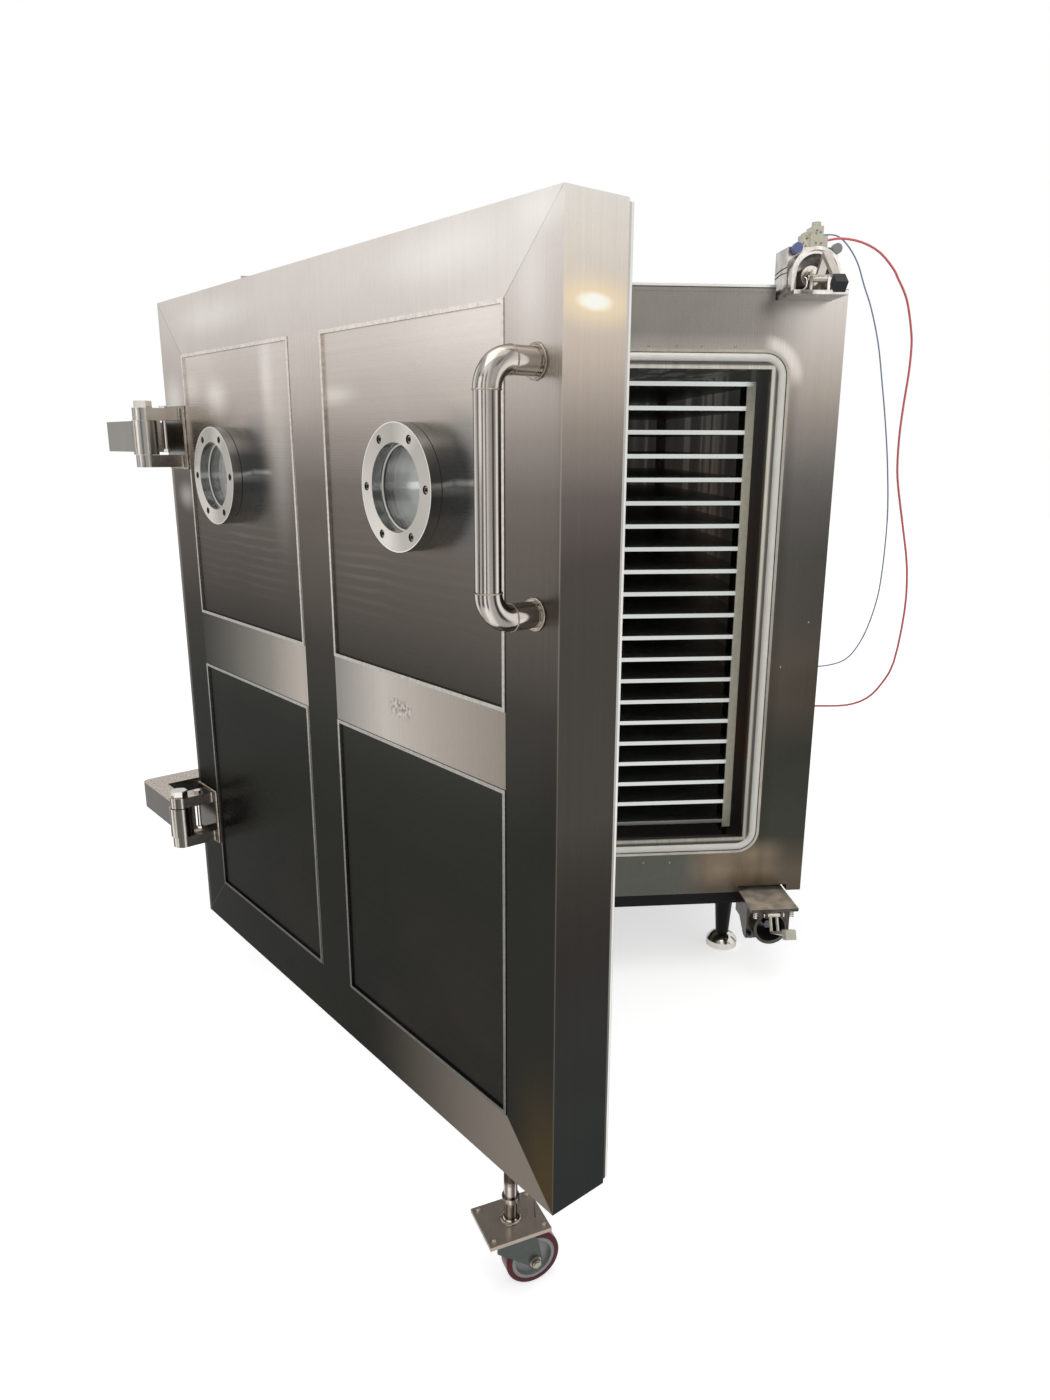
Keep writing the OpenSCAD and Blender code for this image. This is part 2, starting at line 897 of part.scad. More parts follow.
module door_handle() {
    leg = handle_out - bend_r;
    color("silver")
        on_door()
            translate([door_w - handle_in, 0, handle_z]) {
                translate([0, -handle_out, -handle_span / 2 + bend_r])
                    cylinder(h = handle_span - 2 * bend_r, r = grip_r);
                for (s = [-1, 1])
                    translate([0, 0, s * handle_span / 2]) {
                        rod_y(grip_r + 1, -leg, 0);
                        rod_y(grip_r + 4, -3, 0);
                        translate([0, -leg, -s * bend_r])
                            rotate([0, 90, 0])
                                rotate([0, 0, s > 0 ? 180 : -90])
                                    rotate_extrude(angle = 90)
                                        translate([bend_r, 0]) circle(grip_r + 1);
                    }
            }
}

// ---- Caster ----

module caster_column() {
    collar = 205;
    color("silver")
        on_door()
            translate([column_u, column_w, -door_z]) {
                translate([0, 0, collar])
                    cylinder(h = door_z - collar, r = column_r);
                translate([0, 0, collar - 5]) cylinder(h = 10, r = column_r + 4);
                translate([0, 0, plate_z + plate_t])
                    cylinder(h = collar - plate_z - plate_t, r = column_r - 1);
                translate([0, 0, plate_z + plate_t]) cylinder(h = 6, r1 = 20, r2 = column_r);
            }
}

module caster_plate() {
    color("silver")
        at_caster() {
            translate([-54, -64, plate_z]) cube([108, 128, plate_t]);
            for (sx = [-1, 1], sy = [-1, 1])
                translate([sx * 42, sy * 52, plate_z + plate_t]) {
                    cylinder(h = 2, r = 6);
                    translate([0, 0, 2]) sphere(4.5);
                }
        }
}

// Swivel head, crown and two cheeks
module caster_fork() {
    half = 22;
    cheek = 4;
    crown_z = plate_z - 18;
    color("slategray")
        at_caster()
            difference() {
                union() {
                    translate([0, 0, crown_z]) cylinder(h = 18 - fit, r = 32);
                    translate([-half - cheek, -38, crown_z - 4])
                        cube([2 * (half + cheek), 74, 6]);
                    for (sx = [-half - cheek, half])
                        translate([sx, 0, 0])
                            rotate([90, 0, 90])
                                linear_extrude(cheek)
                                    union() {
                                        polygon([
                                            [-38, crown_z], [-38, crown_z - 24],
                                            [-14, crown_z - 42], [trail - 16, wheel_r - 4],
                                            [trail + 15, wheel_r + 4], [trail + 6, crown_z - 22],
                                            [36, crown_z]
                                        ]);
                                        translate([trail, wheel_r]) circle(16);
                                    }
                }
                translate([0, trail, wheel_r])
                    rotate([0, 90, 0])
                        cylinder(h = 200, r = axle_r + run, center = true);
            }
}

module axle_bolt() {
    half = 26;
    color("silver")
        at_caster()
            translate([0, trail, wheel_r])
                rotate([0, 90, 0]) {
                    cylinder(h = 2 * half + 22, r = axle_r, center = true);
                    for (s = [-1, 1])
                        translate([0, 0, s * (half + 1)]) cylinder(h = 2, r = 12, center = true);
                    translate([0, 0, half + 2]) hexagon(17, 7);
                    translate([0, 0, -half - 9]) hexagon(17, 7);
                }
}

module wheel_hub() {
    color("lightgray")
        at_caster()
            translate([0, trail, wheel_r])
                rotate([0, 90, 0])
                    difference() {
                        union() {
                            cylinder(h = wheel_t - 2, r = hub_r - run, center = true);
                            cylinder(h = wheel_t + 6, r = 13, center = true);
                        }
                        cylinder(h = 80, r = axle_r + run, center = true);
                        for (s = [-1, 1])
                            translate([0, 0, s * 18])
                                difference() {
                                    cylinder(h = 22, r = hub_r - 7, center = true);
                                    cylinder(h = 30, r = 14, center = true);
                                }
                    }
}

module tyre() {
    shoulder = 5;
    color("firebrick")
        at_caster()
            translate([0, trail, wheel_r])
                rotate([0, 90, 0])
                    rotate_extrude()
                        union() {
                            translate([hub_r, -wheel_t / 2])
                                square([wheel_r - hub_r - shoulder, wheel_t]);
                            translate([hub_r, shoulder - wheel_t / 2])
                                square([wheel_r - hub_r, wheel_t - 2 * shoulder]);
                            for (s = [-1, 1])
                                translate([wheel_r - shoulder, s * (wheel_t / 2 - shoulder)])
                                    circle(shoulder);
                        }
}

// ---- Clamps ----

// Lug on each side of the finger's hub, bored for the pivot pin
module pivot_lugs(pivot) {
    difference() {
        for (x = [-hub_half - 7.5, hub_half + 0.5])
            translate([x, 0, 0])
                rotate([90, 0, 90])
                    linear_extrude(7)
                        union() {
                            translate([pivot[0] - 11, plate_h - 1])
                                square([22, pivot[1] - plate_h + 1]);
                            translate(pivot) circle(11);
                        }
        translate([-50, pivot[0], pivot[1]])
            rotate([0, 90, 0]) cylinder(h = 100, r = pivot_r + run);
    }
}

module base_plate(back) {
    translate([-plate_w / 2, plate_y, 0]) cube([plate_w, back - plate_y, plate_h]);
}

// Box housing with an arched mouth in front and a foot on the chamber's roof
module upper_clamp_bracket() {
    color("gainsboro")
        at_upper_clamp() {
            base_plate(notch_d);
            pivot_lugs(upper_pivot);
            difference() {
                union() {
                    translate([-body_w / 2, body_y, plate_h - 1])
                        cube([body_w, 96, valve_z - upper_base - plate_h + 1]);
                    translate([0, 0, upper_axis]) rod_y(body_w / 2 - 2, mouth_y, body_y + 1);
                    translate([2 - body_w / 2, mouth_y, plate_h - 1])
                        cube([body_w - 4, body_y - mouth_y + 1, upper_axis - plate_h + 1]);
                }
                translate([0, 0, upper_axis]) rod_y(mouth_r, mouth_y - 1, 20);
                translate([0, 0, upper_axis]) rod_y(mouth_r + 8, mouth_y - 1, mouth_y + 10);
                translate([-mouth_r, mouth_y - 1, plate_h])
                    cube([2 * mouth_r, 21 - mouth_y, upper_axis - plate_h]);
                translate([-mouth_r - 8, mouth_y - 1, plate_h])
                    cube([2 * mouth_r + 16, 11, upper_axis - plate_h]);
                translate([-body_w, mouth_y - 1, -body_w])
                    cube([2 * body_w, 200, body_w]);
            }
            translate([-plate_w / 2, 45, clamp_top - upper_base]) cube([plate_w, 39, plate_h]);
        }
}

// Tapered box hung under the chamber with a round mouth in front
module lower_clamp_bracket() {
    color("gainsboro")
        at_lower_clamp() {
            base_plate(84);
            pivot_lugs(lower_pivot);
            difference() {
                union() {
                    translate([-body_w / 2, 0, 0])
                        rotate([90, 0, 90])
                            linear_extrude(body_w)
                                polygon([
                                    [40, plate_h - 1], [40, 80], [0, 80], [-45, 122],
                                    [-70, 122], [-70, plate_h - 1]
                                ]);
                    translate([0, 0, lower_axis]) rod_y(mouth_r + 3, -98, -69);
                }
                translate([0, 0, lower_axis]) rod_y(mouth_r - 6, -99, 20);
            }
        }
}

// Cylinder in the bottom of the mouth with its rod and nut
module clamp_cylinder(axis) {
    translate([0, 0, axis]) {
        rod_y(26, -40, 20);
        rod_y(17, -50, -39);
        rod_y(9, -66, -49);
        translate([0, -62, 0]) rotate([90, 0, 0]) hexagon(24, 9);
    }
}

module upper_clamp_cylinder() { color("gray") at_upper_clamp() clamp_cylinder(upper_axis); }

module lower_clamp_cylinder() {
    color("gray")
        at_lower_clamp() {
            clamp_cylinder(lower_axis);
            translate([-58, 0, 106]) rod_y(8, -86, -70);
            translate([-58, 0, 106]) rod_y(5, -92, -85);
        }
}

module clamp_pin(pivot) {
    translate([0, pivot[0], pivot[1]])
        rotate([0, 90, 0]) {
            cylinder(h = 2 * hub_half + 24, r = pivot_r, center = true);
            translate([0, 0, hub_half + 8]) cylinder(h = 4, r = 8);
            translate([0, 0, -hub_half - 12]) cylinder(h = 4, r = 8);
        }
}

module upper_clamp_pin() { color("silver") at_upper_clamp() clamp_pin(upper_pivot); }
module lower_clamp_pin() { color("silver") at_lower_clamp() clamp_pin(lower_pivot); }

// Turns a closed finger, its pivot at the origin, to where it rests
module finger_rest(pivot, angle) {
    translate([0, pivot[0], pivot[1]]) rotate([-angle, 0, 0]) children();
}

module finger_hub(r) {
    rotate([0, 90, 0]) cylinder(h = 2 * hub_half, r = r, center = true);
}

module hub_bore() {
    rotate([0, 90, 0]) cylinder(h = 100, r = pivot_r + run, center = true);
}

// Solid cranked finger: forward from the pivot, then down over the door's edge
module upper_clamp_arm() {
    reach = finger_y - upper_pivot[0];
    color("gainsboro")
        at_upper_clamp()
            finger_rest(upper_pivot, upper_rest)
                difference() {
                    union() {
                        finger_hub(10);
                        translate([-bar_w / 2, reach - bar_t / 2, -bar_t / 2])
                            cube([bar_w, bar_t / 2 - reach, bar_t]);
                        translate([-bar_w / 2, reach - bar_t / 2, 17 - finger_l])
                            cube([bar_w, bar_t, finger_l - 17 + bar_t / 2]);
                    }
                    hub_bore();
                }
}

// Two bent rods from the hub to the pad
module lower_clamp_arm() {
    reach = finger_y - lower_pivot[0];
    rod_r = 4.5;
    color("gainsboro")
        at_lower_clamp()
            finger_rest(lower_pivot, lower_rest)
                difference() {
                    union() {
                        finger_hub(8);
                        for (x = [-rod_x, rod_x])
                            translate([x, 0, 0]) {
                                rod_y(rod_r, reach, 0);
                                translate([0, reach, 0]) sphere(rod_r);
                                translate([0, reach, 17 - finger_l])
                                    cylinder(h = finger_l - 17, r = rod_r);
                            }
                    }
                    hub_bore();
                }
}

// Rubber block over the finger's end, with a blind socket for it
module pad_block(reach) {
    translate([-pad_w / 2, reach - pad_t / 2, -finger_l]) cube([pad_w, pad_t, pad_l]);
}

module upper_clamp_pad() {
    reach = finger_y - upper_pivot[0];
    color("black")
        at_upper_clamp()
            finger_rest(upper_pivot, upper_rest)
                difference() {
                    pad_block(reach);
                    translate([-bar_w / 2, reach - bar_t / 2, 17 - finger_l])
                        cube([bar_w, bar_t, 100]);
                }
}

module lower_clamp_pad() {
    reach = finger_y - lower_pivot[0];
    color("ivory")
        at_lower_clamp()
            finger_rest(lower_pivot, lower_rest)
                difference() {
                    pad_block(reach);
                    for (x = [-rod_x, rod_x])
                        translate([x, reach, 17 - finger_l]) cylinder(h = 100, r = 4.5);
                }
}

// Solenoid valve block riding on the upper housing
module valve_block() {
    color("ivory")
        in_place()
            translate([clamp_x, 0, valve_z]) {
                translate([-5, -35, 0]) cube([46, 66, 31]);
                translate([-27, -28, 0]) cube([23, 54, 22]);
                translate([3, -28, 30]) cube([28, 52, 26]);
                translate([-12, -10, 30]) cube([16, 30, 14]);
                translate([18, -6, 55]) cylinder(h = 13, r = 12);
                for (y = [-18, -2, 14]) translate([-17, y, 21]) cylinder(h = 16, r = 5);
            }
}

// Round flow regulator on the housing's front, its knob facing forward
module flow_fitting(dx, dz) {
    at_upper_clamp()
        translate([dx, 0, upper_axis + dz]) {
            rod_y(13, -74, -58);
            rod_y(9, -59, body_y);
        }
}

module blue_fitting() { color("royalblue") flow_fitting(-51, 63); }
module grey_fitting() { color("slategray") flow_fitting(54, 63); }

module bulkhead_fittings() {
    color("silver")
        in_place()
            for (z = [red_end_z, blue_end_z])
                translate([chamber_w / 2, union_y, z])
                    rotate([0, 90, 0]) {
                        hexagon(22, 10);
                        cylinder(h = 28, r = 8);
                    }
}

// ---- Air tubes ----

function unit(v) = v / norm(v);

// Point at t along the smooth curve through points i and i + 1
function on_curve(p, i, t) =
    let (
        last = len(p) - 1,
        a = p[max(i - 1, 0)], b = p[i], c = p[min(i + 1, last)], d = p[min(i + 2, last)]
    )
    (2 * b + (c - a) * t + (2 * a - 5 * b + 4 * c - d) * t * t
        + (3 * b - a - 3 * c + d) * t * t * t) / 2;

function smooth(p, n) =
    concat([for (i = [0 : len(p) - 2], k = [0 : n - 1]) on_curve(p, i, k / n)], [p[len(p) - 1]]);

// Ring of side points round point i of a path
function tube_ring(path, i, r, n) =
    let (
        last = len(path) - 1,
        t = unit(path[min(i + 1, last)] - path[max(i - 1, 0)]),
        a = unit(cross(t, [0, 1, 0.1])),
        b = cross(t, a)
    )
    [for (k = [0 : n - 1]) path[i] + r * (cos(360 * k / n) * a + sin(360 * k / n) * b)];

// Closed tube along a path
module tube(path, r, n = 8) {
    rings = len(path);
    points = [for (i = [0 : rings - 1]) each tube_ring(path, i, r, n)];
    sides = [
        for (i = [0 : rings - 2], k = [0 : n - 1])
            [i * n + k, i * n + (k + 1) % n, (i + 1) * n + (k + 1) % n, (i + 1) * n + k]
    ];
    ends = [
        [for (k = [n - 1 : -1 : 0]) k],
        [for (k = [0 : n - 1]) (rings - 1) * n + k]
    ];
    polyhedron(points, concat(sides, ends));
}

module red_air_tube() { color("crimson") in_place() tube(smooth(red_points, 3), red_r, 8); }
module blue_air_tube() { color("steelblue") in_place() tube(smooth(blue_points, 4), blue_r, 8); }

vessel();
seal_channel();
door_seal();
insulation();
front_cladding();
side_cladding();
rear_cladding();
shelves();
rack_posts();
post_strips();
fluid_headers();
vacuum_port();
base_frame();
leg_sleeves();
levelling_feet();
hinge_brackets();
bracket_pins();
upper_clamp_bracket();
lower_clamp_bracket();
upper_clamp_cylinder();
lower_clamp_cylinder();
upper_clamp_pin();
lower_clamp_pin();
upper_clamp_arm();
lower_clamp_arm();
upper_clamp_pad();
lower_clamp_pad();
valve_block();
blue_fitting();
grey_fitting();
bulkhead_fittings();
red_air_tube();
blue_air_tube();
upper_hinge_arm();
lower_hinge_arm();
door_casing();
door_strips();
upper_left_panel();
upper_right_panel();
lower_left_panel();
lower_right_panel();
panel_beads();
door_core();
liner_spacer();
door_liner();
sight_flanges();
sight_gaskets();
sight_glasses();
sight_rings();
sight_screws();
door_handle();
hinge_leaves();
hinge_pins();
hinge_stop_bolts();
caster_column();
caster_plate();
caster_fork();
axle_bolt();
wheel_hub();
tyre();
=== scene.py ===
"""Walk-up vacuum freeze dryer with its door standing open: finishes, welds, fasteners and light."""

import math
from types import SimpleNamespace

import bmesh
import bpy
from mathutils import Matrix, Vector


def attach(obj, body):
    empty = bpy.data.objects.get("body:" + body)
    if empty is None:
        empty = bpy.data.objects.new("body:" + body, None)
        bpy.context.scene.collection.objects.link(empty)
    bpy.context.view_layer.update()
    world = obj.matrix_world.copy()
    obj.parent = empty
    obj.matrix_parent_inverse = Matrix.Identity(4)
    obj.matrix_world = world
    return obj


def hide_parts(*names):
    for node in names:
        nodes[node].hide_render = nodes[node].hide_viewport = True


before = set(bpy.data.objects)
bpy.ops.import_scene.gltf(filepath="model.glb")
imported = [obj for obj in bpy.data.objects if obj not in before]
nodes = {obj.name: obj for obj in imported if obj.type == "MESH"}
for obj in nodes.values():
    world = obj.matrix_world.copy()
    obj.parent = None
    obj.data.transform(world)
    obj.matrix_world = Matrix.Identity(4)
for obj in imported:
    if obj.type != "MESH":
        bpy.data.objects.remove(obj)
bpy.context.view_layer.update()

# ---------------------------------------------------------------- places

# The record's origin is the front right foot. The drawings below are in millimetres. The
# chamber's are x from its centre plane, y back from its front face and z from the floor. The
# door's are u from its hinge edge, w in from its face and v up from its bottom edge.
FOOT_X, FOOT_Y = 612.0, 175.0
CHAMBER_HALF_W, CHAMBER_D = 800, 1400
OPENING_Z = 1144                        # middle of the opening, and of the port behind it
CLAMP_X = 677
LOWER_CLAMP_Z = 197
SWING_PIN = (-853.0, 90.0)
DOOR_OPEN = math.radians(55.35)
DOOR_CORNER = (-733.5, -143.3, 356.0)
DOOR_W, DOOR_H = 1467.0, 1600.0
HINGE_V = (313.5, 1286.5)
SIGHT_U, SIGHT_V = (361.5, 1105.5), 1204
HANDLE_U, HANDLE_V = DOOR_W - 55, 1208
COLUMN_U, COLUMN_W = 1256, 78
AXIS_X, AXIS_Y, AXIS_Z = Vector((1, 0, 0)), Vector((0, 1, 0)), Vector((0, 0, 1))


def on_chamber(x, y, z):
    """Chamber millimetres to the record's metres."""
    return Vector(((x - FOOT_X) / 1000, (y - FOOT_Y) / 1000, z / 1000))


def door_matrix():
    """Door millimetres to the record's metres, with the door swung open."""
    swing = Matrix.Translation((*SWING_PIN, 0)) @ Matrix.Rotation(-DOOR_OPEN, 4, "Z")
    swing = swing @ Matrix.Translation((-SWING_PIN[0], -SWING_PIN[1], 0))
    place = Matrix.Translation((-FOOT_X, -FOOT_Y, 0)) @ swing @ Matrix.Translation(DOOR_CORNER)
    return Matrix.Scale(0.001, 4) @ place


DOOR = door_matrix()
DOOR_ZERO = DOOR @ Vector((0, 0, 0))
ALONG = (DOOR.to_3x3() @ AXIS_X).normalized()
INWARD = (DOOR.to_3x3() @ AXIS_Y).normalized()


def on_door(u, w, v):
    """Door millimetres to the record's metres."""
    return DOOR @ Vector((u, w, v))


TO_METRES = {"chamber": on_chamber, "door": on_door}

# ---------------------------------------------------------------- camera

EYE = (-0.9265, -2.8875, 1.631)
LENS, SENSOR = 24.92, 36.0
HEADING, DOWNWARD, ROLL = -5.12, 14.82, 0.13


def make_camera():
    camera = bpy.data.objects.new("camera", bpy.data.cameras.new("camera"))
    bpy.context.scene.collection.objects.link(camera)
    camera.data.sensor_fit = "AUTO"
    camera.data.sensor_width = SENSOR
    camera.data.lens = LENS
    camera.data.clip_end = 60
    turn = Matrix.Rotation(math.radians(HEADING), 4, "Z")
    tilt = Matrix.Rotation(math.radians(90 - DOWNWARD), 4, "X")
    roll = Matrix.Rotation(math.radians(ROLL), 4, "Z")
    camera.matrix_world = Matrix.Translation(EYE) @ turn @ tilt @ roll
    bpy.context.scene.camera = camera


make_camera()

# ---------------------------------------------------------------- mesh tools


def new_piece(name, build, material, smooth=True):
    """Object whose mesh build(bm) makes."""
    bm = bmesh.new()
    build(bm)
    bmesh.ops.recalc_face_normals(bm, faces=bm.faces)
    mesh = bpy.data.meshes.new(name)
    bm.to_mesh(mesh)
    bm.free()
    mesh.materials.append(material)
    for face in mesh.polygons:
        face.use_smooth = smooth
    piece = bpy.data.objects.new(name, mesh)
    bpy.context.scene.collection.objects.link(piece)
    return piece


def detail(name, build, finish, body, slot):
    """Small fixed piece that rides on a body."""
    piece = new_piece(name, build, MATERIALS[finish])
    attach(piece, body)


def curve_points(points, steps):
    """Smooth line through the points, the same one that the tube solids follow."""
    points = [Vector(p) for p in points]
    line = []
    last = len(points) - 1
    for i in range(last):
        a, b = points[max(i - 1, 0)], points[i]
        c, d = points[i + 1], points[min(i + 2, last)]
        for k in range(steps):
            t = k / steps
            line.append((2 * b + (c - a) * t + (2 * a - 5 * b + 4 * c - d) * t * t
                         + (3 * b - a - 3 * c + d) * t ** 3) / 2)
    line.append(points[last])
    return line


def ring_line(centre, first, second, radius, count):
    """Points of a circle, turning from the first axis towards the second."""
    return [Vector(centre) + first * (radius * math.cos(math.tau * k / count))
            + second * (radius * math.sin(math.tau * k / count)) for k in range(count)]


def bridge(bm, rings):
    """Faces from each ring of vertices to the next."""
    sides = len(rings[0])
    for a, b in zip(rings, rings[1:]):
        for k in range(sides):
            bm.faces.new((a[k], a[(k + 1) % sides], b[(k + 1) % sides], b[k]))


def sweep(bm, line, radius, sides, closed=False, wobble=None):
    """Round bar along a line of points, in metres; wobble(i) varies its radius."""
    rings = []
    count = len(line)
    side = None
    for i, p in enumerate(line):
        if closed:
            ahead = (line[(i + 1) % count] - line[i - 1]).normalized()
        else:
            ahead = (line[min(i + 1, count - 1)] - line[max(i - 1, 0)]).normalized()
        if side is None:
            side = ahead.orthogonal().normalized()
        side = (side - ahead * side.dot(ahead)).normalized()
        up = ahead.cross(side)
        r = radius if wobble is None else radius * wobble(i)
        rings.append([bm.verts.new(p + side * (r * math.cos(math.tau * k / sides))
                                   + up * (r * math.sin(math.tau * k / sides)))
                      for k in range(sides)])
    bridge(bm, rings + rings[:1] if closed else rings)
    if not closed:
        bm.faces.new(rings[0])
        bm.faces.new(rings[-1][::-1])


def bar(bm, body, line, radius, sides, closed=False, wobble=None):
    """Round bar in a body's own millimetres."""
    sweep(bm, [TO_METRES[body](*p) for p in line], radius / 1000, sides, closed, wobble)


def vertex_ring(bm, body, line):
    return [bm.verts.new(TO_METRES[body](*p)) for p in line]


def button_head(bm, body, centre, out, radius, height):
    """Low domed rivet or button head standing out of a face along out."""
    side = out.orthogonal().normalized()
    up = out.cross(side)
    rings = []
    for share in (0.0, 0.35, 0.65, 0.88, 1.0):
        narrow = radius * math.cos(share * math.pi / 2 * 0.92)
        rise = height * math.sin(share * math.pi / 2)
        rings.append(vertex_ring(bm, body,
                                 ring_line(Vector(centre) + out * rise, side, up, narrow, 14)))
    bridge(bm, rings)
    bm.faces.new(rings[-1])
    bm.faces.new(rings[0][::-1])


# ---------------------------------------------------------------- shader tools

def linear(*rgb):
    """Screen values 0-255 to the linear colour that Blender works in."""
    out = []
    for c in rgb:
        c = c / 255
        out.append(c / 12.92 if c <= 0.04045 else ((c + 0.055) / 1.055) ** 2.4)
    return (*out, 1.0)


class Nodes:
    """Short hands for building one node tree. A value is a number, a colour or a socket."""

    def __init__(self, tree):
        self.tree = tree

    def put(self, socket, value):
        if isinstance(value, bpy.types.NodeSocket):
            self.tree.links.new(value, socket)
        else:
            socket.default_value = value

    def fill(self, node, **inputs):
        for key, value in inputs.items():
            self.put(node.inputs[key.replace("_", " ")], value)
        return node

    def add(self, kind, **inputs):
        return self.fill(self.tree.nodes.new(kind), **inputs)

    def here(self):
        """Place on the whole object, in the record's metres."""
        return self.add("ShaderNodeTexCoord").outputs["Object"]

    def math(self, operation, a, b=0.0, clamp=False):
        node = self.tree.nodes.new("ShaderNodeMath")
        node.operation = operation
        node.use_clamp = clamp
        self.put(node.inputs[0], a)
        self.put(node.inputs[1], b)
        return node.outputs[0]

    def plus(self, a, b, clamp=False):
        return self.math("ADD", a, b, clamp)

    def minus(self, a, b):
        return self.math("SUBTRACT", a, b)

    def times(self, first, *others):
        for other in others:
            first = self.math("MULTIPLY", first, other)
        return first

    def squares(self, a, b):
        return self.plus(self.times(a, a), self.times(b, b))

    def distance(self, a, b):
        return self.math("SQRT", self.squares(a, b))

    def oval(self, a, b, middle_a, middle_b, wide, high):
        """0 in the middle of an oval, 1 on its outline and more outside."""
        return self.squares(self.math("DIVIDE", self.minus(a, middle_a), wide),
                            self.math("DIVIDE", self.minus(b, middle_b), high))

    def span(self, value, low, high, to_low=0.0, to_high=1.0, kind="LINEAR"):
        """Runs from to_low to to_high while value goes from low to high."""
        node = self.tree.nodes.new("ShaderNodeMapRange")
        node.interpolation_type = kind
        for socket, given in zip(node.inputs, (value, low, high, to_low, to_high)):
            self.put(socket, given)
        return node.outputs["Result"]

    def ease(self, value, low, high, to_low=0.0, to_high=1.0):
        """span with a soft start and end."""
        return self.span(value, low, high, to_low, to_high, "SMOOTHSTEP")

    def vary(self, noise, low, high):
        """A noise, which keeps between 0.3 and 0.7 nearly everywhere, spread from low to high."""
        return self.span(noise, 0.3, 0.7, low, high)

    def inside(self, value, low, high, soft=0.0004):
        """1 where value lies between low and high, with soft ends."""
        return self.times(self.span(value, low - soft, low + soft),
                          self.span(value, high - soft, high + soft, 1.0, 0.0))

    def ramp(self, value, stops):
        node = self.tree.nodes.new("ShaderNodeValToRGB")
        points = node.color_ramp.elements
        points[0].position, points[1].position = stops[0][0], stops[-1][0]
        points[0].color, points[1].color = stops[0][1], stops[-1][1]
        for place, colour in stops[1:-1]:
            points.new(place).color = colour
        self.put(node.inputs[0], value)
        return node.outputs[0]

    def shades(self, value, stops):
        """Ramp of (place, screen colour) stops."""
        return self.ramp(value, [(place, linear(*rgb)) for place, rgb in stops])

    def greys(self, value, stops):
        """Ramp of (place, level) stops."""
        return self.ramp(value, [(place, (level, level, level, 1)) for place, level in stops])

    def mix(self, mask, a, b):
        """a where the mask is 0, b where it is 1."""
        node = self.tree.nodes.new("ShaderNodeMix")
        node.data_type = "RGBA"
        self.put(node.inputs[0], mask)
        self.put(node.inputs[6], a)
        self.put(node.inputs[7], b)
        return node.outputs[2]

    def between(self, mask, first, second):
        """mix of two screen colours."""
        return self.mix(mask, linear(*first), linear(*second))

    def lay(self, mask, colour, *rgb):
        """Lays a screen colour over colour where the mask is 1."""
        return self.mix(mask, colour, linear(*rgb))

    def combine(self, x, y, z):
        return self.add("ShaderNodeCombineXYZ", X=x, Y=y, Z=z).outputs[0]

    def vector(self, operation, a, b, result="Vector"):
        node = self.tree.nodes.new("ShaderNodeVectorMath")
        node.operation = operation
        self.put(node.inputs[0], a)
        self.put(node.inputs[1], b)
        return node.outputs[result]

    def dot(self, a, b):
        return self.vector("DOT_PRODUCT", a, b, "Value")

    def scale(self, colour, factor):
        node = self.tree.nodes.new("ShaderNodeVectorMath")
        node.operation = "SCALE"
        self.put(node.inputs[0], colour)
        self.put(node.inputs["Scale"], factor)
        return node.outputs[0]

    def noise(self, vector, scale=1.0, detail=3.0, roughness=0.5):
        return self.add("ShaderNodeTexNoise", Vector=vector, Scale=scale, Detail=detail,
                        Roughness=roughness).outputs["Fac"]

    def use(self, group, **inputs):
        """Places a node group of GROUPS."""
        node = self.tree.nodes.new("ShaderNodeGroup")
        node.node_tree = GROUPS[group]
        return self.fill(node, **inputs)

    def place_on(self, where):
        """Place on the door or the chamber, in metres."""
        along, inward, up, place = self.use(where).outputs
        return SimpleNamespace(along=along, inward=inward, up=up, place=place)


# ---------------------------------------------------------------- node groups

NUMBER, VECTOR = "NodeSocketFloat", "NodeSocketVector"
PLACES = [("Along", NUMBER), ("In", NUMBER), ("Up", NUMBER), ("Place", VECTOR)]


def new_group(name, inputs, outputs):
    tree = bpy.data.node_groups.new(name, "ShaderNodeTree")
    for label, kind, value in inputs:
        socket = tree.interface.new_socket(label, in_out="INPUT", socket_type=kind)
        if value is not None:
            socket.default_value = value
    for label, kind in outputs:
        tree.interface.new_socket(label, in_out="OUTPUT", socket_type=kind)
    return tree, Nodes(tree), tree.nodes.new("NodeGroupInput"), tree.nodes.new("NodeGroupOutput")


def door_places():
    """Group: metres along the door from its hinge edge, in from its face, and up."""
    tree, n, _, out = new_group("door places", [], PLACES)
    shift = n.vector("SUBTRACT", n.here(), DOOR_ZERO)
    along, inward, up = (n.dot(shift, axis) for axis in (ALONG, INWARD, AXIS_Z))
    n.fill(out, Along=along, In=inward, Up=up, Place=n.combine(along, inward, up))
    return tree


def chamber_places():
    """Group: metres across the chamber from its centre plane, back from its face, and up."""
    tree, n, _, out = new_group("chamber places", [], PLACES)
    shift = n.vector("ADD", n.here(), (FOOT_X / 1000, FOOT_Y / 1000, 0))
    along, inward, up = n.add("ShaderNodeSeparateXYZ", Vector=shift).outputs
    n.fill(out, Along=along, In=inward, Up=up, Place=shift)
    return tree


def brushing():
    """Group: fine parallel scratches; Grain is how often they change along each axis of Place."""
    tree, n, into, out = new_group(
        "brushing", [("Place", VECTOR, None), ("Grain", VECTOR, None)],
        [("Streak", NUMBER), ("Fine", NUMBER), ("Roughness", NUMBER), ("Height", NUMBER)])
    scaled = n.vector("MULTIPLY", into.outputs["Place"], into.outputs["Grain"])
    fine = n.noise(scaled, 1.0, 4.0, 0.6)
    streak = n.noise(n.vector("MULTIPLY", scaled, (0.35, 0.11, 0.11)), 1.0, 3.0, 0.65)
    n.fill(out, Streak=streak, Fine=fine, Roughness=n.vary(fine, 0.0, 1.0),
           Height=n.plus(fine, streak))
    return tree


